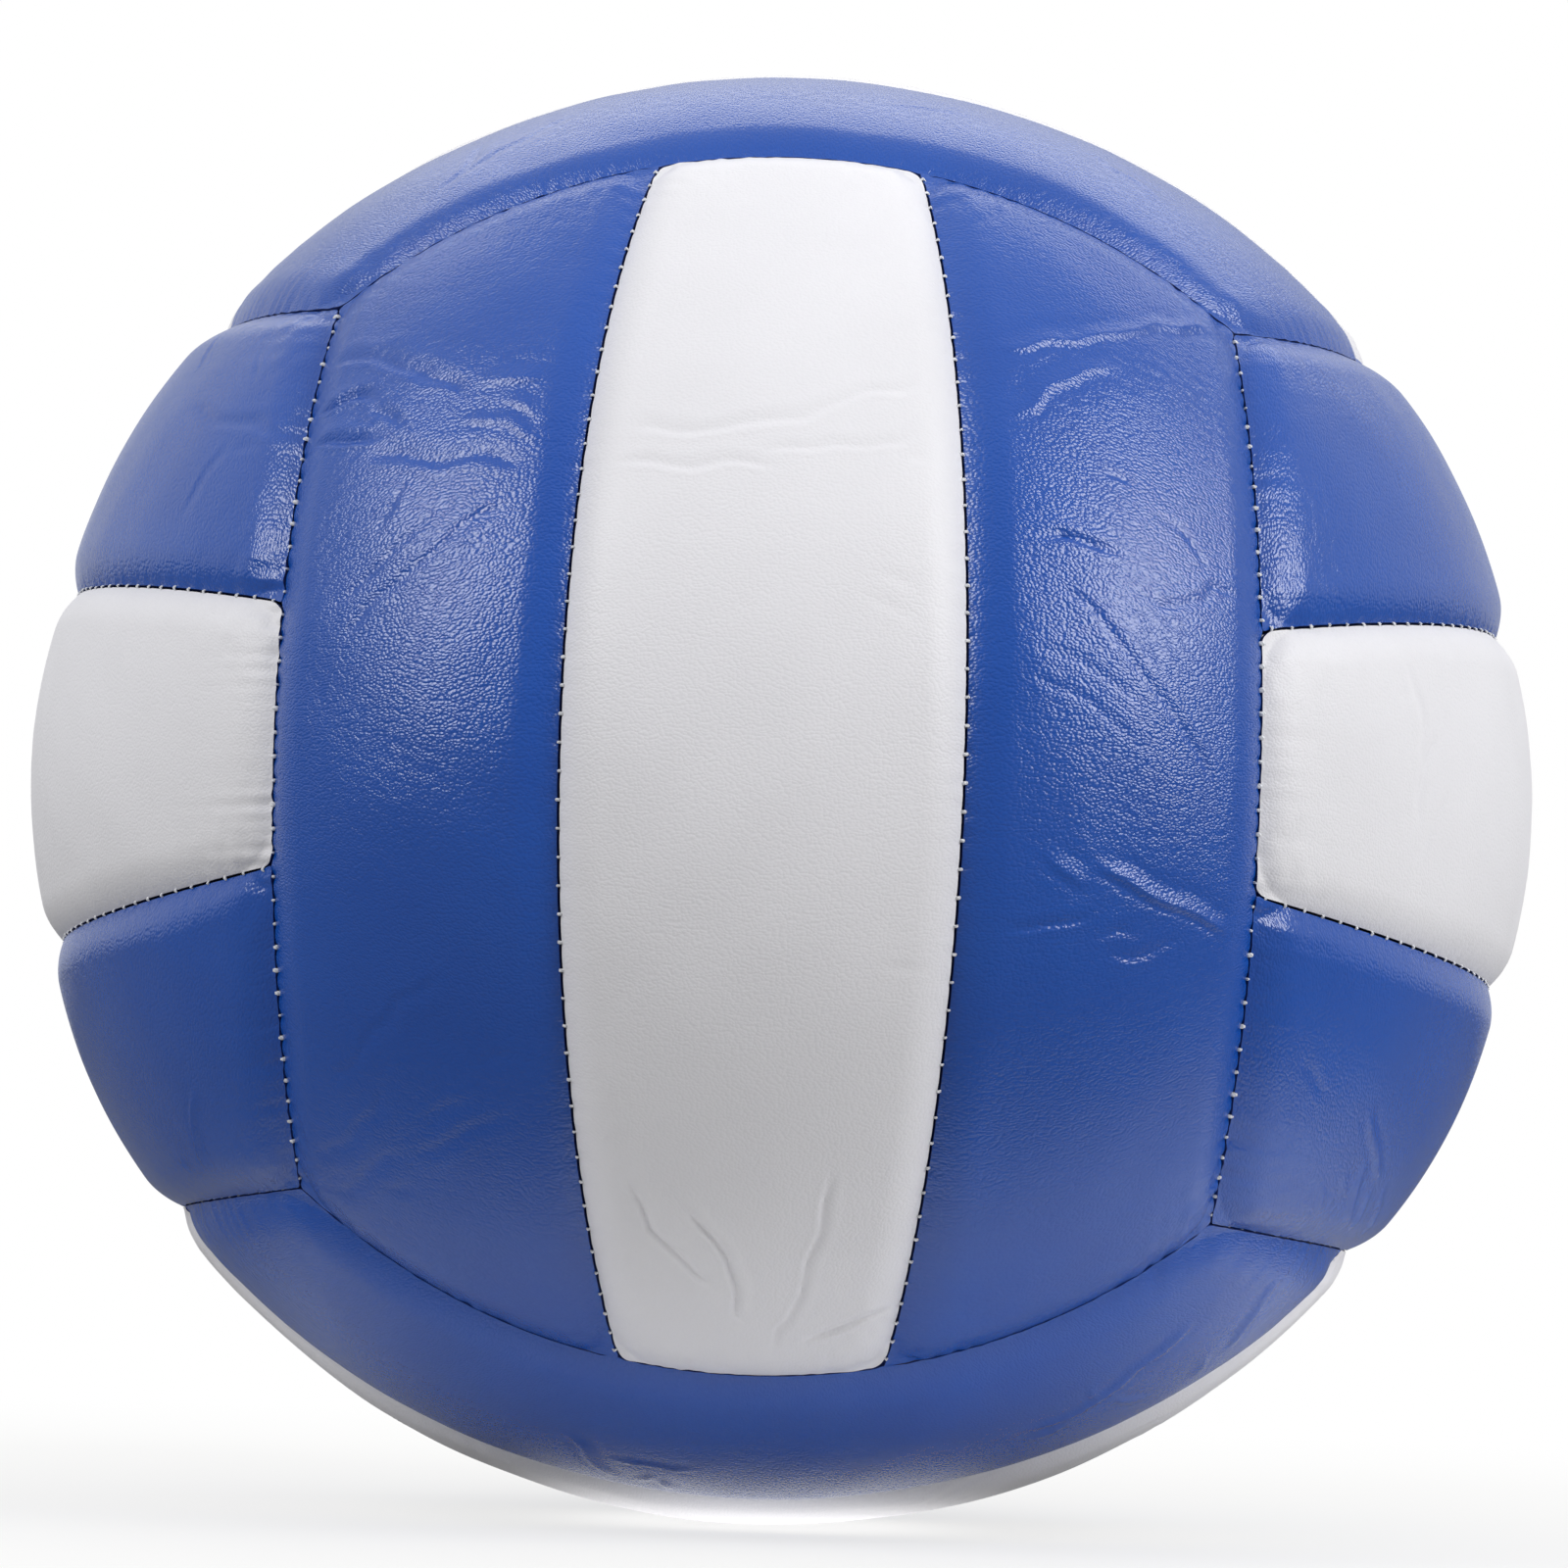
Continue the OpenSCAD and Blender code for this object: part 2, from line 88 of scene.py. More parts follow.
# Steps of the sheets' grids: close in a band beside the seams, and wider between
EDGE_BAND = 5.0
EDGE_STEP = 0.36
PLAIN_STEP = 0.72
FRONT_OUTER_STEP = 0.42
FRONT_MIDDLE_STEP = 0.48
# On a strip with folds, the steps in its folds and between them are these shares of its plain step
FOLD_STEP_SHARE = 0.65
UNFOLDED_STEP_SHARE = 1.2
# Side of the square map on which a skin's pattern lies flat
FLAT_MAP_SIZE = 200
# The rim is turned in towards the middle of the ball by these shares, one after the other
RIM_SHARES = (0.994, 0.986)

# Puckers beside a strip's long seams and its ends, as (depth, reach)
SIDE_PUCKERS = (0.030, 2.6)
END_PUCKERS = (0.075, 4.5)
CORNER_PUCKER_DEPTH = 0.09
CORNER_PUCKER_REACH = 11
# How much deeper they are on the faces beside and behind the front
SIDE_PUCKER_SHARE = 1.7
# Dips at the stitches inside a face, between faces, and over stitches that lie deep
FACE_STITCH_DIP = 0.16
EDGE_STITCH_DIP = 0.30
SUNK_STITCH_DIP = 0.04
STITCH_DIP_REACH = 0.9
# How much an outer strip swells at a round corner, and how deep the skin dips round the valve
CORNER_SWELL = 0.45
VALVE_DIP = 0.45
VALVE_DIP_R = 6.5

# Slow swells and ripples of the padding
SWELL_HEIGHT = 0.12
SWELL_SIZE = 34
RIPPLE_HEIGHT = 0.035
RIPPLE_SIZE = 11
# How far the folds wander off their points, the size of that wander, and the deep share of a fold's width
FOLD_WANDER = 0.3
FOLD_WANDER_SIZE = 7
FOLD_CORE_SHARE = 0.65
# A fold's walls, its lips and their place are this wide, as shares of its width
STEEP_WALL = 0.75
FLAT_WALL = 1.5
LIP_WIDTH = 1.1
LIP_PLACE = 2.2
# Seeded folds lie in this many groups and run in steps this long
LOOSE_GROUPS = 3
LOOSE_STEP = 4

# A stitch: where its bar bends as shares of its length, how far its ends dive and how much they narrow
STITCH_SIDES = 6
STITCH_BENDS = (-0.28, 0.0, 0.28)
STITCH_DIVE = 0.55
STITCH_TAPER = 0.25
# How stitches differ: in slant, in size, and in metres across the seam
STITCH_SLANT = 0.10
STITCH_SIZES = (0.8, 1.2)
STITCH_STRAY = 0.0001

# Camera: turns in degrees, distance and place aside in radii of the ball, lens and sensor in millimetres
CAMERA_TURNS = ((-4.73, "X"), (1.73, "Y"), (-1.43, "Z"))
CAMERA_DISTANCE = 7.27
CAMERA_ASIDE = (-0.0036, 0, -0.0195)
CAMERA_LENS = 124.1
CAMERA_SENSOR = 36

# Leather: pebbles and patches of tone per metre, how stretched the pebbles are, and the share in the tone
# of painted shade between them
PEBBLES_PER_METRE = 2600
PATCHES_PER_METRE = 60
PEBBLE_STRETCH = 0.75
PEBBLE_SHADE_SHARE = 0.12
# Places of the colours among the sockets of a Mix node
MIX_COLOUR_A, MIX_COLOUR_B, MIX_COLOUR_OUT = 6, 7, 2

# Side of the floor, in metres
FLOOR_SIZE = 60

# Plane of the seam where two faces meet
CORNER_SHARE = 1 / math.sqrt(3)
EDGE_LEAN = math.atan2(math.sin(FACE_HALF_ANGLE) - CORNER_SHARE, math.cos(FACE_HALF_ANGLE) - CORNER_SHARE)
EDGE_OFF = math.sin(FACE_HALF_ANGLE - EDGE_LEAN)
STRIP_OFF = math.sin(STRIP_HALF_ANGLE - SEAM_LEAN)

# Faces as [along the strips, outward, across the strips]
FACES = {
    "front": ((0, 0, 1), (0, -1, 0), (-1, 0, 0)),
    "back": ((0, 0, 1), (0, 1, 0), (1, 0, 0)),
    "right": ((0, 1, 0), (1, 0, 0), (0, 0, 1)),
    "left": ((0, 1, 0), (-1, 0, 0), (0, 0, -1)),
    "top": ((1, 0, 0), (0, 0, 1), (0, 1, 0)),
    "bottom": ((1, 0, 0), (0, 0, -1), (0, -1, 0)),
}
LOW, MIDDLE, HIGH = -1, 0, 1
STRIPS = {
    "front_left": ("front", HIGH), "front_middle": ("front", MIDDLE), "front_right": ("front", LOW),
    "back_left": ("back", LOW), "back_middle": ("back", MIDDLE), "back_right": ("back", HIGH),
    "right_upper": ("right", HIGH), "right_middle": ("right", MIDDLE), "right_lower": ("right", LOW),
    "left_upper": ("left", LOW), "left_middle": ("left", MIDDLE), "left_lower": ("left", HIGH),
    "top_front": ("top", LOW), "top_middle": ("top", MIDDLE), "top_back": ("top", HIGH),
    "bottom_front": ("bottom", HIGH), "bottom_middle": ("bottom", MIDDLE), "bottom_back": ("bottom", LOW),
}
# Threads between faces, with the faces whose long edges they follow
EDGE_THREADS = {
    "front_edge": ["front"], "back_edge": ["back"], "side_edge": ["right", "left", "top", "bottom"],
}


# Camera at the photograph's place
def set_camera():
    """The camera stands a little below the middle of the ball and looks slightly up at it."""
    turn_x, turn_y, turn_z = (Matrix.Rotation(math.radians(turn), 3, axis) for turn, axis in CAMERA_TURNS)
    view_to_ball = (turn_z @ turn_y @ turn_x).transposed()
    distance = CAMERA_DISTANCE * BALL_R / 1000
    aside = Vector(CAMERA_ASIDE) * (BALL_R / 1000)
    place = view_to_ball @ (Vector((0, -distance, 0)) - aside)
    right, forward, up = (view_to_ball @ Vector(axis) for axis in ((1, 0, 0), (0, 1, 0), (0, 0, 1)))
    camera_data = bpy.data.cameras.new("photo_camera")
    camera_data.sensor_width = CAMERA_SENSOR
    camera_data.lens = CAMERA_LENS
    camera_data.clip_start, camera_data.clip_end = 0.01, 50
    camera = bpy.data.objects.new("photo_camera", camera_data)
    bpy.context.scene.collection.objects.link(camera)
    camera.matrix_world = Matrix.Translation(place) @ Matrix((right, up, -forward)).transposed().to_4x4()
    bpy.context.scene.camera = camera


# Seams and strips
def seam_beside(strip, side, inset=0.0):
    """The seam on the low (-1) or high (1) side of a strip, as (side, lean, offset) of its plane."""
    if strip == MIDDLE:
        return side, SEAM_LEAN, STRIP_OFF - inset
    if strip == side:
        return side, EDGE_LEAN, EDGE_OFF - inset * EDGE_GAP / SEAM_GAP
    return -side, SEAM_LEAN, STRIP_OFF + inset


def on_seam(seam, angle):
    """Direction on a seam, as (across, outward, along), at an angle from the middle of its length."""
    side, lean, off = seam
    k = math.sqrt(1 - off * off)
    return np.stack([
        side * (off * math.cos(lean) + k * math.sin(lean) * np.cos(angle)),
        k * math.cos(lean) * np.cos(angle) - off * math.sin(lean),
        k * np.sin(angle),
    ], -1)


def seam_end(seam, inset=0.0):
    """Angle at which a seam meets the end of its strip."""
    _, lean, off = seam
    k = math.sqrt(1 - off * off)
    a, b = k * math.cos(EDGE_LEAN) * math.cos(lean), k * math.sin(EDGE_LEAN)
    reach = (EDGE_OFF + inset + off * math.sin(lean) * math.cos(EDGE_LEAN)) / math.hypot(a, b)
    return math.acos(reach) - math.atan2(b, a)


def on_end(angle, inset):
    """Direction on the end of a strip, at an angle across it."""
    off = EDGE_OFF + inset
    k = math.sqrt(1 - off * off)
    return np.stack([
        k * np.sin(angle),
        off * math.cos(EDGE_LEAN) + k * math.sin(EDGE_LEAN) * np.cos(angle),
        k * math.cos(EDGE_LEAN) * np.cos(angle) - off * math.sin(EDGE_LEAN),
    ], -1)


def strip_direction(strip, u, v, inset):
    """Direction inside a strip, with u from 0 to 1 across it and v from 0 to 1 along it."""
    low, high = seam_beside(strip, LOW, inset), seam_beside(strip, HIGH, inset)
    end_inset = inset * EDGE_GAP / SEAM_GAP
    low_end, high_end = seam_end(low, end_inset), seam_end(high, end_inset)
    low_corner, high_corner = on_seam(low, low_end), on_seam(high, high_end)
    k = math.sqrt(1 - (EDGE_OFF + end_inset) ** 2)
    start, stop = math.asin(low_corner[0] / k), math.asin(high_corner[0] / k)
    end = on_end(start * (1 - u) + stop * u, end_inset)
    flip = np.array([1, 1, -1])
    u1, v1 = u[:, None], v[:, None]
    along = on_seam(low, (2 * v - 1) * low_end) * (1 - u1) + on_seam(high, (2 * v - 1) * high_end) * u1
    across = end * flip * (1 - v1) + end * v1
    corners = low_corner * (1 - u1) + high_corner * u1
    p = along + across - (corners * flip * (1 - v1) + corners * v1)
    return p / np.linalg.norm(p, axis=1)[:, None]


def strip_width(strip):
    """Width of a strip at mid-length, in millimetres."""
    ends = on_seam(seam_beside(strip, HIGH), 0.0) - on_seam(seam_beside(strip, LOW), 0.0)
    return BALL_R * float(np.linalg.norm(ends))


def strip_length(strip):
    """Mean length of a strip over the curve of the ball, in millimetres."""
    return BALL_R * (seam_end(seam_beside(strip, LOW)) + seam_end(seam_beside(strip, HIGH)))


def to_seam(p, seam):
    """Distance in millimetres from a direction to the plane of a seam."""
    side, lean, off = seam
    return BALL_R * (off - (side * p[:, 0] * math.cos(lean) - p[:, 1] * math.sin(lean)))


def to_end(p):
    """Distance in millimetres from a direction to the plane of the nearer end of its strip."""
    return BALL_R * (p[:, 1] * math.cos(EDGE_LEAN) - np.abs(p[:, 2]) * math.sin(EDGE_LEAN) - EDGE_OFF)


def as_sewn(q):
    """Moves the skin up with the seams round this ball's top, and down with those round its bottom."""
    level = np.arcsin(np.clip(np.abs(q[:, 2]), 0, 1))
    x, z = np.abs(q[:, 0]), np.abs(q[:, 2])
    past_end = -q[:, 1] * math.cos(EDGE_LEAN) - z * math.sin(EDGE_LEAN) - EDGE_OFF
    past_side = EDGE_OFF - z * math.cos(EDGE_LEAN) + x * math.sin(EDGE_LEAN)
    near_seam = smooth_step(1 - BALL_R * np.abs(np.maximum(past_end, past_side)) / SHIFT_REACH)
    # The seams at the left lower corner lie where they should
    left_below = (q[:, 2] < 0) & (q[:, 0] < 0)
    near_middle = np.where(left_below, smooth_step((CORNER_SHARE - x) / SHIFT_FADE_LEFT), 1)
    in_front = smooth_step((SHIFT_END_BEHIND - q[:, 1]) / SHIFT_FADE_BEHIND)
    move = SEAM_SHIFT / BALL_R * near_seam * near_middle * in_front * np.sign(q[:, 2]) / np.cos(level)
    q = q + move[:, None] * np.stack([-q[:, 2] * q[:, 0], -q[:, 2] * q[:, 1], np.cos(level) ** 2], 1)
    return q / np.linalg.norm(q, axis=1)[:, None]


def in_ball(face, p, r):
    """Places in metres of directions in a face, at radii in millimetres."""
    along, outward, across = (np.array(axis, float) for axis in FACES[face])
    q = np.asarray(r)[..., None] * as_sewn(p[:, :1] * across + p[:, 1:2] * outward + p[:, 2:] * along)
    q[:, 2] *= HEIGHT_SHARE
    return q / 1000


# Relief of the padded skin
def smooth_step(x):
    """Goes softly from 0 to 1 while x does, and stays level beyond."""
    x = np.clip(x, 0, 1)
    return x * x * (3 - 2 * x)


def wander(points, size, seed, waves=9):
    """Slow seeded unevenness from -1 to 1, with swells about one size across."""
    rng = np.random.default_rng(seed)
    total = np.zeros(len(points))
    for _ in range(waves):
        heading = rng.normal(size=points.shape[1])
        heading *= 2 * math.pi / (size * rng.uniform(0.8, 1.5) * np.linalg.norm(heading))
        total += np.sin(points @ heading + rng.uniform(0, 2 * math.pi))
    return total / math.sqrt(waves)


def crease(x, y, height, width, points, lip=0.35, fade=5.0):
    """A fold in the skin along given points: a groove if its height is below 0, else a ridge."""
    points = np.array(points, float)
    near = np.full(len(x), 1e9)
    side = np.zeros(len(x))
    place = np.zeros(len(x))
    travelled = 0.0
    for a, b in zip(points[:-1], points[1:]):
        run = b - a
        length = float(np.hypot(*run))
        t = np.clip(((x - a[0]) * run[0] + (y - a[1]) * run[1]) / length ** 2, 0, 1)
        dx, dy = x - a[0] - t * run[0], y - a[1] - t * run[1]
        d = np.hypot(dx, dy)
        closer = d < near
        near = np.where(closer, d, near)
        side = np.where(closer, np.sign(run[0] * dy - run[1] * dx), side)
        place = np.where(closer, travelled + t * length, place)
        travelled += length
    # A fold leans over: one wall is steep and the other lies flat
    near /= np.where(side > 0, STEEP_WALL, FLAT_WALL)
    fade = min(fade, travelled / 2)
    strength = smooth_step(place / fade) * smooth_step((travelled - place) / fade)
    core = np.exp(-np.sqrt((near / width) ** 2 + 0.04) + 0.2)
    lips = np.exp(-((near - LIP_PLACE * width) / (LIP_WIDTH * width)) ** 2)
    return height * strength * (core - lip * lips)


# Folds in each strip, as (height, width, points) in millimetres from its middle: across it, then along it
FOLDS = {
    "front_left": [
        (-0.50, 0.9, [(20, 56.5), (17, 55), (13, 52.8), (10, 51.3), (8, 50), (6.5, 49.8)]),
        (-0.30, 0.8, [(8, 50), (7, 47.5), (5, 45.5), (3, 43), (2, 42)]),
        (-0.34, 1.1, [(18, 65), (14, 62), (10, 59), (7, 56), (4, 53), (1, 50.5), (-2, 48.5), (-4, 46.5),
                      (-5.5, 44)]),
        (-0.46, 0.8, [(20, 49), (17, 48), (14, 46.5), (11, 44.5), (8, 43), (5, 42)]),
        (-0.28, 1.4, [(8, 41), (4, 39), (0, 37), (-4, 35.5), (-8, 35), (-12, 34), (-16, 33)]),
        (-0.20, 0.7, [(0.5, 35), (3, 29), (5, 26.5)]),
        (-0.20, 0.7, [(-5, 30), (0, 25.5), (5, 21), (10, 17.5)]),
        (-0.22, 0.7, [(-15, 27.5), (-10, 27), (-6, 24), (0, 19.5), (5, 16.5), (9, 12)]),
        (0.30, 1.1, [(-6, 47), (-12, 45.5), (-17, 44.5)]),
        (0.26, 1.0, [(-5, 42), (-10, 39.5), (-13, 38)]),
        (0.24, 0.9, [(-10, 43), (-17, 39)]),
        (0.22, 0.9, [(-10, 40), (-17, 36)]),
        (-0.12, 0.9, [(-8, -30), (-3, -34.5), (0, -36), (1, -39), (5, -44), (7, -48), (12, -54)]),
        (-0.12, 0.8, [(-17, -39), (-13, -40), (-9.5, -43)]),
        (-0.16, 0.9, [(-10, -46), (-7, -48), (-4, -51), (-2, -54)]),
        (-0.16, 0.9, [(2, -48), (4, -53), (7, -58), (10, -64), (12, -65.5), (16, -70)]),
        (-0.18, 0.9, [(0, -58), (4, -61), (7, -66), (10, -71), (13.5, -76)]),
        (-0.18, 0.9, [(-15, -47), (-10, -50), (-6, -53.5), (0, -58.5)]),
        (-0.14, 0.8, [(0, -63), (5, -67.5)]),
    ],
    "front_right": [
        (0.30, 0.9, [(17, 50), (13, 52.5), (9, 54.5), (5, 57), (0, 60.5), (-4, 64.5), (-8, 68.5),
                     (-12, 72.5), (-16, 77)]),
        (0.26, 1.0, [(16, 41), (13, 43.5), (10, 47), (6, 51), (0, 54.5)]),
        (-0.14, 0.8, [(-8, 66), (-13, 71), (-17, 75)]),
        (-0.40, 0.7, [(14, 25), (10, 26), (7, 25.5), (4, 25), (1.5, 25)]),
        (-0.16, 0.7, [(5, 36), (2, 36), (-1, 35.5)]),
        (-0.16, 0.7, [(-1, 33), (-6, 31.5), (-9, 29), (-11, 26)]),
        (-0.18, 0.7, [(1, 21), (-3, 19.5), (-6, 20), (-9, 22.5), (-11, 25.5), (-14, 25), (-18, 25)]),
        (-0.18, 0.7, [(12, 20), (7, 17), (3, 13), (0, 10), (-3, 7), (-7, 2), (-10, -2), (-12, -5)]),
        (-0.10, 0.7, [(15, 12.5), (12, 11.5), (8, 10.5), (5, 9.5), (2, 7), (-1, 5)]),
        (-0.10, 0.7, [(16, 8.5), (11, 6.5), (7, 5), (4, 3), (0, 0.5), (-2, 0)]),
        (0.22, 0.9, [(13, -12), (10, -15), (7, -17), (4, -17.5)]),
        (0.36, 1.0, [(6, -14.5), (2, -16.5), (-2, -19), (-6, -21), (-10, -23), (-13, -25.5), (-16, -27.5)]),
        (-0.20, 0.8, [(17, -22.5), (13, -22.5), (9, -21.5), (6, -21), (4, -21.5)]),
        (-0.18, 0.8, [(5, -24), (2, -23.5), (-1, -24)]),
        (-0.18, 0.8, [(4, -26), (0, -27), (-4, -27), (-8, -26)]),
    ],
    "front_middle": [
        (-0.17, 0.9, [(20, 40), (15, 39.5), (10, 38.5), (5, 39.5), (0, 40), (-4, 41), (-8, 43), (-12, 45),
                      (-17, 46.5), (-21, 48.5)]),
        (-0.15, 0.8, [(22, 35), (18, 35), (14, 34), (10, 33.5), (6, 34.5), (2, 34), (-2, 33.5)]),
        (-0.12, 0.8, [(3, 35.5), (0, 36), (-6, 37), (-12, 37.5), (-16, 38.5), (-20, 41)]),
        (-0.08, 0.9, [(-16, 36), (-22, 37.5)]),
        (-0.08, 0.9, [(-13, 21), (-20, 18)]),
        (-0.08, 0.9, [(-10, 17.5), (-20, 14)]),
        (-0.10, 0.7, [(-14, -29), (-18, -29.2), (-24, -29.7)]),
        (-0.48, 0.7, [(10, -62), (6, -66), (3, -70), (2.5, -74), (2, -79), (0, -81)]),
        (-0.44, 0.7, [(18, -58), (16, -63), (15, -66), (10, -71), (8, -73.5), (5, -75)]),
        (-0.32, 0.7, [(-11, -55), (-10.5, -62), (-10, -66), (-9, -71), (-8, -76), (-6, -80), (-4, -82),
                      (-4, -87)]),
        (-0.50, 0.7, [(-9, -86), (-10, -84), (-15, -82.5), (-20, -81), (-25, -80.5)]),
    ],
    "left_upper": [
        (-0.30, 0.9, [(-3, -54.5), (-2.2, -59), (-0.6, -65), (-0.4, -69), (-0.4, -75), (0, -81)]),
        (-0.22, 0.9, [(3.4, -69), (3.1, -73), (2.6, -76), (2, -81)]),
        (-0.16, 0.8, [(1, -70.5), (4, -69), (6.3, -67), (9.5, -65), (11.7, -63.5), (13.5, -63)]),
        (-0.18, 0.8, [(-19, -44), (-13.7, -47), (-10.4, -48.5), (-8, -48)]),
        (-0.14, 0.8, [(-12.5, -68.5), (-7.8, -71.4), (-5.5, -72.5)]),
    ],
    "left_lower": [
        (0.32, 0.9, [(3, -66), (8.5, -62), (13, -60.5), (17, -61)]),
        (0.24, 0.9, [(13, -53), (15.5, -52)]),
    ],
    "right_lower": [
        (0.40, 0.9, [(1.4, -57.8), (-1.3, -55), (-5, -49.8), (-7.1, -45.3), (-9.5, -41)]),
        (0.40, 0.9, [(-6.4, -51), (-10, -50.4), (-13.5, -47.6), (-15.8, -44.7), (-18, -43)]),
        (0.36, 0.9, [(-10.5, -44.2), (-14.2, -41.3), (-18, -38.5)]),
        (0.32, 0.9, [(-8.8, -39), (-13.7, -32.8), (-18, -27.2)]),
        (0.20, 0.9, [(-8.4, -57.2), (-12.5, -51.5)]),
        (0.20, 0.9, [(-10.2, -62.3), (-15.8, -57.2)]),
        (-0.20, 0.9, [(5, -77), (1.6, -71.4), (-1, -67.4)]),
    ],
    "top_front": [
        (-0.20, 0.9, [(6.8, -43), (-0.9, -46.4), (-5, -48.7), (-6.7, -51), (-10.2, -55.5)]),
        (-0.18, 0.9, [(0.1, -34.5), (-2.6, -39), (-3, -43), (-6, -48), (-8, -52)]),
        (-0.14, 0.9, [(3, -29), (0.5, -34), (-1, -38)]),
        (0.14, 0.9, [(-4, 12), (0, 16), (2, 22), (1, 27)]),
        (0.16, 1.0, [(6, 40), (2, 45), (1, 50), (-3, 55)]),
    ],
    "bottom_front": [
        (0.32, 0.9, [(-3, 36), (-3.6, 42.5), (-2.4, 47), (-0.7, 51.5), (2.1, 55.5), (2, 59), (4.6, 64.6),
                     (6.5, 67.4)]),
        (0.24, 0.9, [(4, 49.3), (0.7, 47.6), (-2.6, 48)]),
        (0.28, 0.9, [(-2.6, 48), (-8, 50.4), (-10, 53), (-9.7, 55)]),
        (0.24, 0.9, [(-14.7, 58.3), (-10.8, 61.2), (-6, 63.4)]),
        (0.28, 0.9, [(-11.4, 64), (-8.4, 68), (-5, 72.5), (-2, 76.5), (0.3, 79.8)]),
        (0.28, 0.9, [(-6.5, 35), (-6.3, 40), (-5, 44)]),
        (0.28, 0.9, [(1.5, -26), (-3, -23), (-8, -21), (-12, -18.5), (-14, -17)]),
        (0.24, 0.9, [(-6, -20), (-5, -15), (-4.5, -10.5), (-3.5, -6)]),
        (0.20, 0.9, [(-8.5, -13), (-13, -15)]),
        (0.24, 0.9, [(-10, -13), (-15, -10)]),
    ],
}
# Stretches of these strips that have folds and need a closer grid, in millimetres along them
FOLDED = {
    "front_left": [(30, 64)], "front_right": [(32, 62), (-30, -8)], "front_middle": [(30, 48), (-86, -58)],
    "left_upper": [(-82, -44)], "left_lower": [(-66, -50)], "right_lower": [(-78, -27)],
    "top_front": [(-56, -29)], "bottom_front": [(35, 80), (-26, -6)],
}


def loose_folds(strip_name, width, length):
    """Seeded folds for a strip that the photograph hides: short runs across it in a few groups."""
    rng = np.random.default_rng(sum(ord(letter) * (i + 3) for i, letter in enumerate(strip_name)))
    folds = []
    for _ in range(LOOSE_GROUPS):
        middle = rng.uniform(-0.38, 0.38) * length
        for _ in range(rng.integers(2, 5)):
            x, y = rng.uniform(-0.42, 0.3) * width, middle + rng.uniform(-9, 9)
            heading, turn = rng.uniform(-0.7, 0.7), rng.uniform(-0.25, 0.25)
            points = [(x, y)]
            for _ in range(rng.integers(3, 7)):
                x, y = x + LOOSE_STEP * math.cos(heading), y + LOOSE_STEP * math.sin(heading)
                heading += turn + rng.uniform(-0.3, 0.3)
                points.append((x, y))
            folds.append((-rng.uniform(0.08, 0.26), rng.uniform(0.7, 1.0), points))
    return folds


def drawn_in(distances, gap):
    """Drop of the skin beside its seams, round like the shoulder of a cushion."""
    near = [1 - np.clip((d - gap) / SHOULDER_W, 0, 1) for d in distances]
    q = np.minimum(1, np.sqrt(sum(n * n for n in near)))
    return SEAM_DEPTH * q ** SHOULDER_POWER


def stitch_pull(face, strip, p):
    """Dips where each stitch pulls the turned edge down; the deep stitches hardly pull it."""
    pull = np.zeros(len(p))
    for side in (LOW, HIGH):
        seam = seam_beside(strip, side)
        end = seam_end(seam)
        _, lean, off = seam
        depth = FACE_STITCH_DIP if strip != side else SUNK_STITCH_DIP if face in SUNK else EDGE_STITCH_DIP
        angle = np.arctan2(p[:, 2], (p[:, 1] + off * math.sin(lean)) / math.cos(lean))
        count = math.floor(2 * BALL_R * end / STITCH_PITCH)
        phase = (angle / end + 1) / 2 * count
        beat = 0.5 + 0.5 * np.cos(2 * math.pi * (phase - 0.5))
        d = np.abs(to_seam(p, seam))
        pull += depth * beat ** 2 * np.exp(-(np.maximum(d - 0.1, 0) / STITCH_DIP_REACH) ** 1.3)
    return pull


def gathers(strip, p, places, seed, deeper):
    """Small puckers that run away from the seams, strongest at the ends and corners of a strip."""
    total = np.zeros(len(p))
    low, high = (np.abs(to_seam(p, seam_beside(strip, side))) for side in (LOW, HIGH))
    end = to_end(p)
    rows = (low, p[:, 2], SIDE_PUCKERS), (high, p[:, 2], SIDE_PUCKERS), (end, p[:, 0], END_PUCKERS)
    for d, run, (depth, reach) in rows:
        along = (run * BALL_R)[:, None]
        ripple = wander(along, 2.1, seed, 7) + 0.6 * wander(along, 4.7, seed + 1, 5)
        patch = 0.55 + 0.45 * wander(along, 23, seed + 2, 4)
        total += deeper * depth * ripple * patch * np.exp(-d / reach)
        seed += 3
    corner = np.exp(-(np.hypot(np.minimum(low, high), end) / CORNER_PUCKER_REACH) ** 2)
    total += CORNER_PUCKER_DEPTH * corner * wander(places, 3.4, seed + 7, 9)
    return total


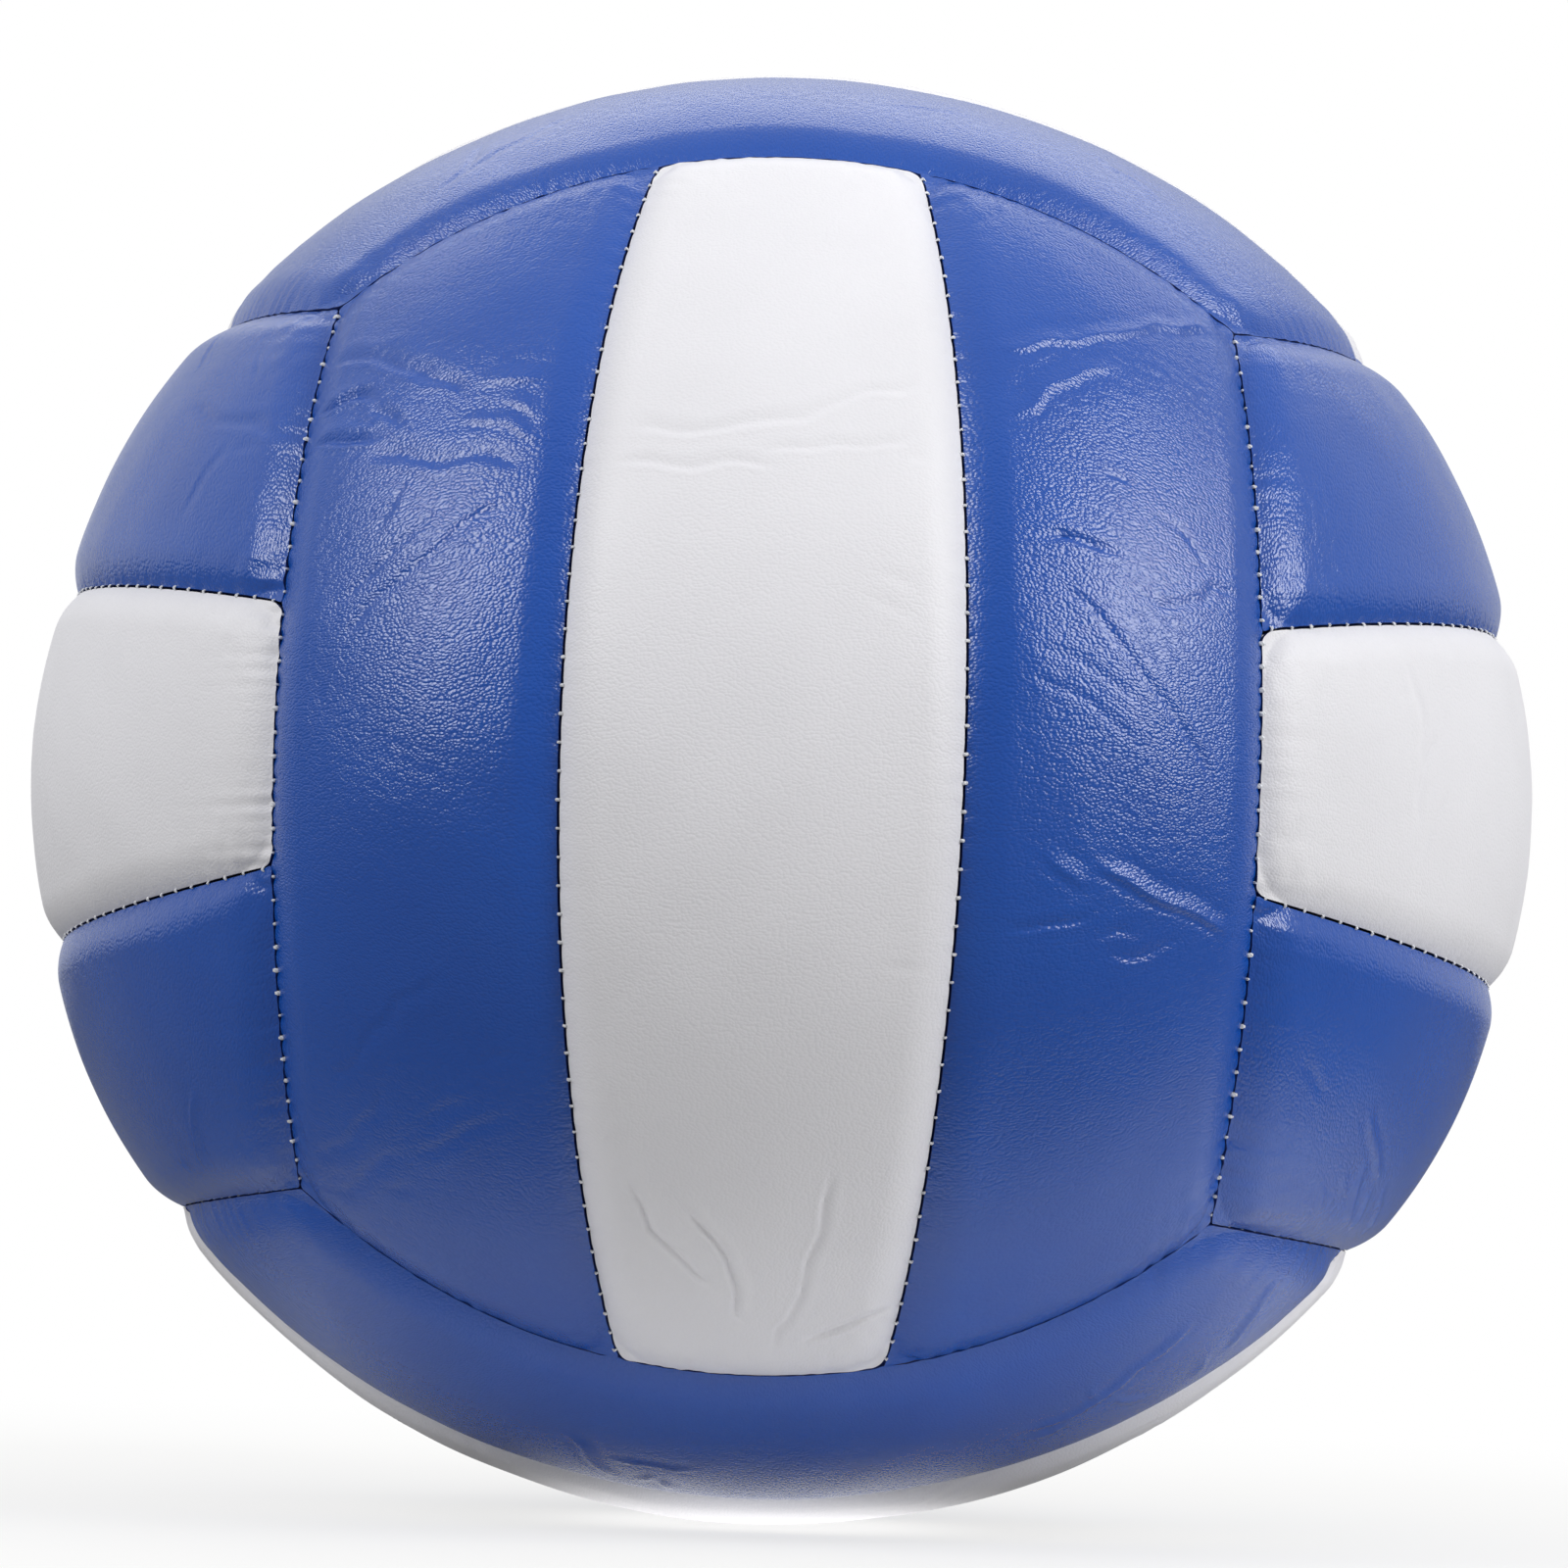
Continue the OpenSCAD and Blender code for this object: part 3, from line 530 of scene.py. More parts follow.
def skin_radius(name, face, strip, p, x, y, gap):
    """Radius of the outside of a strip, with its crown, shoulders, gathers and folds."""
    width, length = strip_width(strip), strip_length(strip)
    seed = 11 * (list(STRIPS).index(name) + 1)
    distances = [np.abs(to_seam(p, seam_beside(strip, side))) for side in (LOW, HIGH)] + [to_end(p)]
    places = in_ball(face, p, np.full(len(p), BALL_R)) * 1000
    r = PAD_R + CROWN_RISE * (1 - (2 * x / width) ** 2) * (1 - (2 * y / length) ** 4)
    r -= drawn_in(distances, gap)
    r -= stitch_pull(face, strip, p)
    inside = smooth_step((np.min(distances, axis=0) - 1.0) / 6)
    r += (SWELL_HEIGHT * inside * wander(places, SWELL_SIZE, seed)
          + RIPPLE_HEIGHT * inside * wander(places, RIPPLE_SIZE, seed + 1))
    r += gathers(strip, p, places, seed + 2, 1.0 if face == "front" else SIDE_PUCKER_SHARE)
    folds = FOLDS.get(name) or loose_folds(name, width, length)
    flat = smooth_step((np.min(distances, axis=0) - 0.3) / 1.5)
    fold_x = x + FOLD_WANDER * wander(places, FOLD_WANDER_SIZE, seed + 5)
    fold_y = y + FOLD_WANDER * wander(places, FOLD_WANDER_SIZE, seed + 6)
    for height, fold_width, points in folds:
        r += flat * crease(fold_x, fold_y, height, FOLD_CORE_SHARE * fold_width, points)
    if name == "back_middle":
        r -= VALVE_DIP * np.exp(-(np.hypot(x, y) / VALVE_DIP_R) ** 2)
    return r


# Cover strips
def deselect_all():
    """Leaves edit mode and selects nothing."""
    if bpy.context.object and bpy.context.object.mode != "OBJECT":
        bpy.ops.object.mode_set(mode="OBJECT")
    bpy.ops.object.select_all(action="DESELECT")


def spaced(size, edge_step, middle_step, folded=()):
    """Places across a size: close together beside its ends and in its folds, and wider apart between."""
    edge = np.arange(0, EDGE_BAND, edge_step)
    middle = [EDGE_BAND]
    while middle[-1] < size - EDGE_BAND:
        here = middle[-1] - size / 2
        close = any(start < here < stop for start, stop in folded)
        share = FOLD_STEP_SHARE if close else UNFOLDED_STEP_SHARE if folded else 1.0
        middle.append(middle[-1] + middle_step * share)
    middle = EDGE_BAND + (np.array(middle) - EDGE_BAND) * (size - 2 * EDGE_BAND) / (middle[-1] - EDGE_BAND)
    return np.concatenate([edge, middle, size - edge[::-1]]) - size / 2


def rounded_corners(x, y, width, length, corner_r):
    """Moves the places near a corner of a strip inward, so that the corner is round."""
    a, b = width / 2 - np.abs(x), length / 2 - np.abs(y)
    share = (np.clip(1 - a / corner_r, 0, 1) * np.clip(1 - b / corner_r, 0, 1)) ** 1.7
    inward = corner_r * (1 - math.sqrt(0.5)) * share
    return x - np.sign(x) * inward, y - np.sign(y) * inward


def swollen_edge(strip, x, y, width, length):
    """Lets an outer strip swell a little into the round corners of the middle strips that it touches."""
    if strip == MIDDLE:
        return x
    inner, outer, end = width / 2 + strip * x, width / 2 - strip * x, length / 2 - np.abs(y)
    x = x - strip * CORNER_SWELL * np.exp(-end / 1.2 - inner / 2)
    return x + strip * CORNER_SWELL * np.exp(-((np.abs(y) - CORNER_PLACE) / 1.5) ** 2 - outer / 2)


def make_cover(name, material, seam_shade):
    """One cover strip: a fine sheet over its padding, with its rim turned in and its thickness inside."""
    face, strip = STRIPS[name]
    width, length = strip_width(strip), strip_length(strip)
    step = PLAIN_STEP if face != "front" else FRONT_MIDDLE_STEP if strip == MIDDLE else FRONT_OUTER_STEP
    xs, ys = spaced(width, EDGE_STEP, step), spaced(length, EDGE_STEP, step, FOLDED.get(name, ()))
    deselect_all()
    bpy.ops.mesh.primitive_grid_add(x_subdivisions=len(xs) - 1, y_subdivisions=len(ys) - 1, size=2)
    cover = bpy.context.object
    cover.name = cover.data.name = name + "_skin"
    mesh = cover.data
    grid = np.empty(len(mesh.vertices) * 3)
    mesh.vertices.foreach_get("co", grid)
    grid = grid.reshape(-1, 3)
    column = np.rint((grid[:, 0] + 1) / 2 * (len(xs) - 1)).astype(int)
    row = np.rint((grid[:, 1] + 1) / 2 * (len(ys) - 1)).astype(int)
    flat_x, flat_y = xs[column], ys[row]
    x, y = rounded_corners(flat_x, flat_y, width, length, CORNER_R if strip == MIDDLE else CORNER_R / 4)
    x = swollen_edge(strip, x, y, width, length)
    gap = SEAM_GAP / 2
    p = strip_direction(strip, 0.5 + x / width, 0.5 + y / length, gap / BALL_R)
    places = in_ball(face, p, skin_radius(name, face, strip, p, x, y, gap))
    mesh.vertices.foreach_set("co", places.ravel())

    # The pattern of the skin lies flat on its map
    layer = mesh.uv_layers.active or mesh.uv_layers.new()
    layer.name = "flat_skin"
    corners = np.empty(len(mesh.loops), dtype=int)
    mesh.loops.foreach_get("vertex_index", corners)
    flat = np.stack([0.5 + flat_x / FLAT_MAP_SIZE, 0.5 + flat_y / FLAT_MAP_SIZE], 1)[corners]
    layer.data.foreach_set("uv", flat.ravel())

    # The rim is turned in towards the middle of the ball, down to the lining, and is painted dark navy as
    # shade in the seam
    sheet_faces = len(mesh.polygons)
    bpy.ops.object.mode_set(mode="EDIT")
    bpy.ops.mesh.select_mode(type="EDGE")
    bpy.ops.mesh.select_all(action="SELECT")
    bpy.ops.mesh.flip_normals()
    bpy.ops.mesh.select_all(action="DESELECT")
    bpy.ops.mesh.select_non_manifold(extend=False, use_wire=False, use_boundary=True,
                                     use_multi_face=False, use_non_contiguous=False, use_verts=False)
    for share in RIM_SHARES:
        bpy.ops.mesh.extrude_edges_indiv()
        bpy.ops.transform.resize(value=(share, share, share), center_override=(0, 0, 0))
    bpy.ops.mesh.select_all(action="DESELECT")
    bpy.ops.object.mode_set(mode="OBJECT")
    mesh.materials.clear()
    mesh.materials.append(material)
    mesh.materials.append(seam_shade)
    for number in range(sheet_faces, len(mesh.polygons)):
        mesh.polygons[number].material_index = 1

    wall = cover.modifiers.new("skin_thickness", "SOLIDIFY")
    wall.thickness = SKIN_T / 1000
    wall.offset = -1
    bpy.ops.object.modifier_apply(modifier=wall.name)
    if name == "back_middle":
        cut_valve_hole(cover)
    bpy.ops.object.shade_smooth_by_angle(angle=math.radians(50))
    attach(cover, "root")
    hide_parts(name + "_cover")


def cut_valve_hole(cover):
    """Punches the hole for the neck of the valve."""
    deselect_all()
    bpy.ops.mesh.primitive_cylinder_add(vertices=64, radius=VALVE_HOLE_R / 1000, depth=0.02,
                                        location=VALVE_PUNCH_PLACE, rotation=(math.radians(90), 0, 0))
    punch = bpy.context.object
    deselect_all()
    cover.select_set(True)
    bpy.context.view_layer.objects.active = cover
    cut = cover.modifiers.new("valve_hole", "BOOLEAN")
    cut.operation = "DIFFERENCE"
    cut.solver = "EXACT"
    cut.object = punch
    bpy.ops.object.modifier_apply(modifier=cut.name)
    bpy.data.objects.remove(punch, do_unlink=True)


# Stitches
def make_stitch(span, thread_d, lift):
    """One stitch of twisted thread: a short bar that is bowed over the seam and dives at both ends."""
    deselect_all()
    bpy.ops.mesh.primitive_cylinder_add(
        vertices=STITCH_SIDES, radius=thread_d / 2000, depth=span / 1000, end_fill_type="NGON",
        rotation=(0, math.radians(90), 0))
    stitch = bpy.context.object
    bpy.ops.object.transform_apply(location=True, rotation=True, scale=True)
    bpy.ops.object.mode_set(mode="EDIT")
    for share in STITCH_BENDS:
        bpy.ops.mesh.select_all(action="SELECT")
        bpy.ops.mesh.bisect(plane_co=(share * span / 1000, 0, 0), plane_no=(1, 0, 0), use_fill=False)
    bpy.ops.object.mode_set(mode="OBJECT")
    for vertex in stitch.data.vertices:
        share = abs(vertex.co.x) / (span / 2000)
        vertex.co.z += (lift - STITCH_DIVE * share ** 2) / 1000
        vertex.co.y *= 1 - STITCH_TAPER * share ** 2
    return stitch


def seam_stitches(face, seam, sunk, uneven, first):
    """Frames for the stitches of one seam, each across it at a slight slant with its bow outward."""
    end = seam_end(seam)
    count = math.floor(2 * BALL_R * end / STITCH_PITCH)
    rng = np.random.default_rng(first)
    side, lean, _ = seam
    across = np.array([side * math.cos(lean), -math.sin(lean), 0.0])
    frames = []
    for i in range(count):
        angle = (2 * (i + 0.5) / count - 1) * end
        p = on_seam(seam, np.array([angle]))
        r = PAD_R - SEAM_DEPTH - sunk - rng.uniform(0, uneven)
        place = in_ball(face, p, [r])[0]
        ahead = in_ball(face, on_seam(seam, np.array([angle + 0.01])), [r])[0] - place
        over = in_ball(face, across[None], [1.0])[0]
        over /= np.linalg.norm(over)
        ahead /= np.linalg.norm(ahead)
        slant = rng.uniform(-STITCH_SLANT, STITCH_SLANT)
        over = over + slant * ahead
        over /= np.linalg.norm(over)
        up = np.cross(over, ahead)
        if up @ place < 0:
            up = -up
        ahead = np.cross(up, over)
        size = rng.uniform(STITCH_SIZES[0] - uneven, STITCH_SIZES[1] + uneven)
        frames.append(Matrix((over * size, ahead * size, up)).transposed().to_4x4())
        frames[-1].translation = Vector(place + rng.uniform(-STITCH_STRAY, STITCH_STRAY) * over)
    return frames


def sew(name, node, seams, span, thread_d, lift, uneven, material):
    """Copies the stitch along each seam and joins the copies into the piece of one node."""
    pattern = make_stitch(span, thread_d, lift)
    copies = []
    for face, seam, sunk in seams:
        for frame_of_stitch in seam_stitches(face, seam, sunk, uneven, len(copies)):
            copy = bpy.data.objects.new("stitch", pattern.data.copy())
            copy.data.transform(frame_of_stitch)
            bpy.context.scene.collection.objects.link(copy)
            copies.append(copy)
    bpy.data.objects.remove(pattern, do_unlink=True)
    deselect_all()
    for copy in copies:
        copy.select_set(True)
    bpy.context.view_layer.objects.active = copies[0]
    bpy.ops.object.join()
    thread = bpy.context.object
    thread.name = thread.data.name = name
    bpy.ops.object.shade_smooth_by_angle(angle=math.radians(60))
    thread.data.materials.clear()
    thread.data.materials.append(material)
    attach(thread, "root")
    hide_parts(node)


# Materials
def new_material(name):
    """A new material with its nodes, links and shader."""
    material = bpy.data.materials.new(name)
    material.use_nodes = True
    nodes = material.node_tree.nodes
    return material, nodes, material.node_tree.links, nodes["Principled BSDF"]


def new_group(name, inputs, outputs):
    """An empty shader node group with its sockets, given as (name, kind)."""
    group = bpy.data.node_groups.new(name, "ShaderNodeTree")
    for way, sockets in (("INPUT", inputs), ("OUTPUT", outputs)):
        for socket, kind in sockets:
            group.interface.new_socket(socket, in_out=way, socket_type="NodeSocket" + kind)
    nodes = group.nodes
    return group, nodes, group.links, nodes.new("NodeGroupInput"), nodes.new("NodeGroupOutput")


def noise_node(nodes, scale, detail):
    """Soft noise of a scale per metre."""
    noise = nodes.new("ShaderNodeTexNoise")
    noise.inputs["Scale"].default_value = scale
    noise.inputs["Detail"].default_value = detail
    return noise


def math_node(nodes, links, operation, first, second, third=None):
    """A sum of two or three terms, each a plain number or the socket that gives it."""
    node = nodes.new("ShaderNodeMath")
    node.operation = operation
    for place, term in enumerate((first, second, third)):
        if isinstance(term, (int, float)):
            node.inputs[place].default_value = term
        elif term is not None:
            links.new(term, node.inputs[place])
    return node.outputs[0]


def vector_node(nodes, links, operation, source, output):
    """A sum on a place, and the output of it that is wanted."""
    node = nodes.new("ShaderNodeVectorMath")
    node.operation = operation
    links.new(source, node.inputs[0])
    return node, node.outputs[output]


def ramp_node(nodes, links, source, span, values, smooth=True):
    """Goes from the first value to the second while its source goes over a span."""
    ramp = nodes.new("ShaderNodeMapRange")
    ramp.interpolation_type = "SMOOTHSTEP" if smooth else "LINEAR"
    ramp.inputs["From Min"].default_value, ramp.inputs["From Max"].default_value = span
    ramp.inputs["To Min"].default_value, ramp.inputs["To Max"].default_value = values
    links.new(source, ramp.inputs["Value"])
    return ramp.outputs["Result"]


def bump_node(nodes, links, shader, height, depth):
    """Relief in the shading of a surface, with its depth in metres."""
    bump = nodes.new("ShaderNodeBump")
    bump.inputs["Strength"].default_value = 1.0
    bump.inputs["Distance"].default_value = depth
    links.new(height, bump.inputs["Height"])
    links.new(bump.outputs["Normal"], shader.inputs["Normal"])


def two_tone_finish(nodes, links, shader, source, dark, light, light_place, rough, depth):
    """Plain stuff that is light and high from a place on its source's way from 0 to 1."""
    tones = nodes.new("ShaderNodeValToRGB")
    tones.color_ramp.elements[0].color = dark
    tones.color_ramp.elements[1].color = light
    tones.color_ramp.elements[1].position = light_place
    links.new(source, tones.inputs["Fac"])
    links.new(tones.outputs["Color"], shader.inputs["Base Color"])
    bump_node(nodes, links, shader, source, depth)
    shader.inputs["Roughness"].default_value = rough


def make_grain_group():
    """Fine wavy pebble grain of coated leather: gives its height, which is 1 on the pebbles' tops."""
    group, nodes, links, start, end = new_group(
        "leather_grain", [("Place", "Vector"), ("Pebbles per metre", "Float")], [("Height", "Float")])
    wave = noise_node(nodes, scale=700, detail=1)
    wave.noise_dimensions = "2D"
    links.new(start.outputs["Place"], wave.inputs["Vector"])
    # The pebbles' edges wander by up to half a millimetre
    drift, drifted = vector_node(nodes, links, "MULTIPLY_ADD", wave.outputs["Color"], "Vector")
    drift.inputs[1].default_value = (0.0005, 0.0005, 0)
    links.new(start.outputs["Place"], drift.inputs[2])
    pebbles = nodes.new("ShaderNodeTexVoronoi")
    pebbles.voronoi_dimensions = "2D"
    pebbles.inputs["Randomness"].default_value = 0.95
    links.new(drifted, pebbles.inputs["Vector"])
    links.new(start.outputs["Pebbles per metre"], pebbles.inputs["Scale"])
    slope = math_node(nodes, links, "POWER", pebbles.outputs["Distance"], 1.3)
    dome = ramp_node(nodes, links, slope, span=(0, 0.75), values=(1, 0), smooth=False)
    links.new(dome, end.inputs["Height"])
    return group


def make_tone_group():
    """Slow change of tone over a skin, with painted shade between its pebbles: gives a colour between a
    darker and a lighter one.
    """
    group, nodes, links, start, end = new_group(
        "skin_tone",
        [("Place", "Vector"), ("Dark", "Color"), ("Light", "Color"), ("Patches per metre", "Float"),
         ("Pebbles", "Float")],
        [("Colour", "Color")])
    patches = noise_node(nodes, scale=1, detail=3)
    links.new(start.outputs["Place"], patches.inputs["Vector"])
    links.new(start.outputs["Patches per metre"], patches.inputs["Scale"])
    # The ground between the pebbles is painted a little darker, as shade
    patch_share = math_node(nodes, links, "MULTIPLY", patches.outputs["Fac"], 1 - PEBBLE_SHADE_SHARE)
    blend = math_node(nodes, links, "MULTIPLY_ADD", start.outputs["Pebbles"], PEBBLE_SHADE_SHARE, patch_share)
    mix = nodes.new("ShaderNodeMix")
    mix.data_type = "RGBA"
    links.new(blend, mix.inputs["Factor"])
    links.new(start.outputs["Dark"], mix.inputs[MIX_COLOUR_A])
    links.new(start.outputs["Light"], mix.inputs[MIX_COLOUR_B])
    links.new(mix.outputs[MIX_COLOUR_OUT], end.inputs["Colour"])
    return group


def srgb(*shades):
    """A colour for a shader, from its red, green and blue as they look on a screen, from 0 to 255."""
    shares = [shade / 255 for shade in shades]
    return tuple(s / 12.92 if s <= 0.04045 else ((s + 0.055) / 1.055) ** 2.4 for s in shares) + (1,)


def make_cover_leather(name, dark, light, rough, gloss, grain_depth, grain, tone):
    """Satin coated leather with its pebble grain."""
    material, nodes, links, shader = new_material(name)
    flat = nodes.new("ShaderNodeUVMap")
    flat.uv_map = "flat_skin"
    stretch = nodes.new("ShaderNodeMapping")
    map_metres = FLAT_MAP_SIZE / 1000
    stretch.inputs["Scale"].default_value = (map_metres * PEBBLE_STRETCH, map_metres, map_metres)
    links.new(flat.outputs["UV"], stretch.inputs["Vector"])
    pebbles = nodes.new("ShaderNodeGroup")
    pebbles.node_tree = grain
    pebbles.inputs["Pebbles per metre"].default_value = PEBBLES_PER_METRE
    links.new(stretch.outputs["Vector"], pebbles.inputs["Place"])
    height = pebbles.outputs["Height"]
    where = nodes.new("ShaderNodeTexCoord")
    colour = nodes.new("ShaderNodeGroup")
    colour.node_tree = tone
    colour.inputs["Dark"].default_value = dark
    colour.inputs["Light"].default_value = light
    colour.inputs["Patches per metre"].default_value = PATCHES_PER_METRE
    links.new(where.outputs["Object"], colour.inputs["Place"])
    links.new(height, colour.inputs["Pebbles"])
    links.new(colour.outputs["Colour"], shader.inputs["Base Color"])
    # The pebbles' tops shine a little more than the ground between them
    sheen = ramp_node(nodes, links, height, span=(0, 1), values=(rough + 0.05, rough - 0.02), smooth=False)
    links.new(sheen, shader.inputs["Roughness"])
    bump_node(nodes, links, shader, height, grain_depth)
    shader.inputs["Specular IOR Level"].default_value = gloss
    return material


def make_thread_material():
    """Light grey bonded thread, with painted shade where its strands meet."""
    material, nodes, links, shader = new_material("sewing_thread")
    where = nodes.new("ShaderNodeTexCoord")
    twist = nodes.new("ShaderNodeTexWave")
    twist.bands_direction = "DIAGONAL"
    twist.inputs["Scale"].default_value = 900
    twist.inputs["Distortion"].default_value = 1.5
    links.new(where.outputs["Object"], twist.inputs["Vector"])
    two_tone_finish(nodes, links, shader, twist.outputs["Fac"], srgb(205, 207, 212), srgb(238, 239, 242),
                    light_place=1, rough=0.6, depth=0.00005)
    return material


def make_spotted_material(name, dark, light, spots, rough, depth):
    """Plain stuff with fine cells or weave: foam, cloth and rubber, and the painted shade of the seams."""
    material, nodes, links, shader = new_material(name)
    where = nodes.new("ShaderNodeTexCoord")
    cells = nodes.new("ShaderNodeTexVoronoi")
    cells.inputs["Scale"].default_value = spots
    links.new(where.outputs["Object"], cells.inputs["Vector"])
    two_tone_finish(nodes, links, shader, cells.outputs["Distance"], dark, light, 0.6, rough, depth)
    return material


def finish_inner_parts():
    """Finishes for the padding, the bladder and the valve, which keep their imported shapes."""
    # By the ending of the nodes' names: name, dark and light tone, spots per metre, roughness and relief
    finishes = {
        "_foam": ("padding_foam", srgb(30, 32, 42), srgb(44, 46, 56), 1400, 0.9, 0.0001),
        "_linings": ("lining_cloth", srgb(176, 175, 168), srgb(208, 207, 200), 1900, 0.85, 0.00008),
        "bladder": ("bladder_rubber", srgb(30, 30, 32), srgb(44, 44, 46), 500, 0.55, 0.00003),
        "valve_body": ("valve_rubber", srgb(34, 34, 36), srgb(48, 48, 50), 900, 0.5, 0.00003),
        "valve_plug": ("plug_rubber", srgb(64, 64, 66), srgb(84, 84, 86), 900, 0.45, 0.00003),
    }
    for ending, finish in finishes.items():
        material = make_spotted_material(*finish)
        for node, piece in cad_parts.items():
            if node.endswith(ending):
                if not piece.material_slots:
                    piece.data.materials.append(material)
                for place in piece.material_slots:
                    place.material = material


# Floor, backdrop and light
def show_mixed(nodes, links, share, first, second, output):
    """Shows the first shader, and the second one by a share."""
    choose = nodes.new("ShaderNodeMixShader")
    for place, socket in enumerate((share, first.outputs[0], second.outputs[0])):
        links.new(socket, choose.inputs[place])
    links.new(choose.outputs[0], nodes[output].inputs["Surface"])


def make_floor_white():
    """White that glows under the ball, is painted with a pool of light and a shadow round it and is dim
    beyond, but that the camera sees nearly plain.
    """
    material, nodes, links, shader = new_material("floor_white")
    shader.inputs["Roughness"].default_value = 1
    shader.inputs["Specular IOR Level"].default_value = 0
    seen = nodes.new("ShaderNodeLightPath").outputs["Is Camera Ray"]
    unseen = math_node(nodes, links, "SUBTRACT", 1, seen)

    place = nodes.new("ShaderNodeTexCoord").outputs["Object"]
    _, away = vector_node(nodes, links, "LENGTH", place, "Value")
    oval = nodes.new("ShaderNodeMapping")
    oval.inputs["Location"].default_value = (-0.028, 0.01, 0)
    oval.inputs["Scale"].default_value = (0.7, 1, 1)
    links.new(place, oval.inputs["Vector"])
    _, aside = vector_node(nodes, links, "LENGTH", oval.outputs["Vector"], "Value")
    measure, from_behind = vector_node(nodes, links, "DISTANCE", place, "Value")
    measure.inputs[1].default_value = (0, 0.03, 0)

    # Light from the floor itself, close to where the ball stands
    glow = ramp_node(nodes, links, away, span=(0.015, 0.042), values=(0.95, 0))
    lit_below = math_node(nodes, links, "MULTIPLY", glow, unseen)
    shader.inputs["Emission Color"].default_value = (1, 1, 1, 1)
    links.new(lit_below, shader.inputs["Emission Strength"])

    # Light that the floor throws back, from a colour painted with a pool of light round the ball and a
    # shadow under and behind it
    painted_pool = ramp_node(nodes, links, aside, span=(0.08, 0.13), values=(1, 0.26))
    # Painted shadow beneath the ball and a little behind it
    painted_shadow = ramp_node(nodes, links, from_behind, span=(0.05, 0.12), values=(0.4, 1))
    pool_and_shadow = math_node(nodes, links, "MULTIPLY", painted_pool, painted_shadow)
    seen_white = math_node(nodes, links, "MULTIPLY", seen, 0.8)
    pale = math_node(nodes, links, "MULTIPLY_ADD", pool_and_shadow, unseen, seen_white)
    warm = nodes.new("ShaderNodeVectorMath")
    warm.operation = "SCALE"
    warm.inputs[0].default_value = (1.0, 0.99, 0.95)
    links.new(pale, warm.inputs["Scale"])
    links.new(warm.outputs[0], shader.inputs["Base Color"])

    # The floor fades into the white surround away from the ball
    whiter = ramp_node(nodes, links, away, span=(0.05, 0.45), values=(0.72, 1))
    share = math_node(nodes, links, "MULTIPLY", seen, whiter)
    show_mixed(nodes, links, share, shader, nodes.new("ShaderNodeEmission"), "Material Output")
    return material


def set_stage():
    """A plain white floor that keeps the ball's shadow."""
    deselect_all()
    bpy.ops.mesh.primitive_plane_add(size=FLOOR_SIZE, location=(0, 0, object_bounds()[0].z))
    floor = bpy.context.object
    floor.name = "floor"
    floor.data.materials.append(make_floor_white())


def set_surround():
    """A white surround: plain to the camera, and a light on the ball that is weaker from the front."""
    world = bpy.data.worlds.new("white_surround")
    bpy.context.scene.world = world
    world.use_nodes = True
    nodes, links = world.node_tree.nodes, world.node_tree.links
    facing = nodes.new("ShaderNodeTexCoord")
    parts = nodes.new("ShaderNodeSeparateXYZ")
    links.new(facing.outputs["Generated"], parts.inputs[0])
    backdrop = ramp_node(nodes, links, parts.outputs["Y"], span=(-0.6, 0.21), values=(0.345, 0.64))
    left_side = ramp_node(nodes, links, parts.outputs["X"], span=(-1, 0), values=(1.15, 1), smooth=False)
    ceiling = ramp_node(nodes, links, parts.outputs["Z"], span=(0, 1), values=(1, 1.2), smooth=False)
    sides = math_node(nodes, links, "MULTIPLY", backdrop, left_side)
    sky = nodes["Background"]
    sky.inputs["Color"].default_value = (0.97, 0.98, 1.0, 1)
    links.new(math_node(nodes, links, "MULTIPLY", sides, ceiling), sky.inputs["Strength"])
    plain = nodes.new("ShaderNodeBackground")
    plain.inputs["Color"].default_value = (1, 1, 1, 1)
    plain.inputs["Strength"].default_value = 1
    seen = nodes.new("ShaderNodeLightPath").outputs["Is Camera Ray"]
    show_mixed(nodes, links, seen, sky, plain, "World Output")


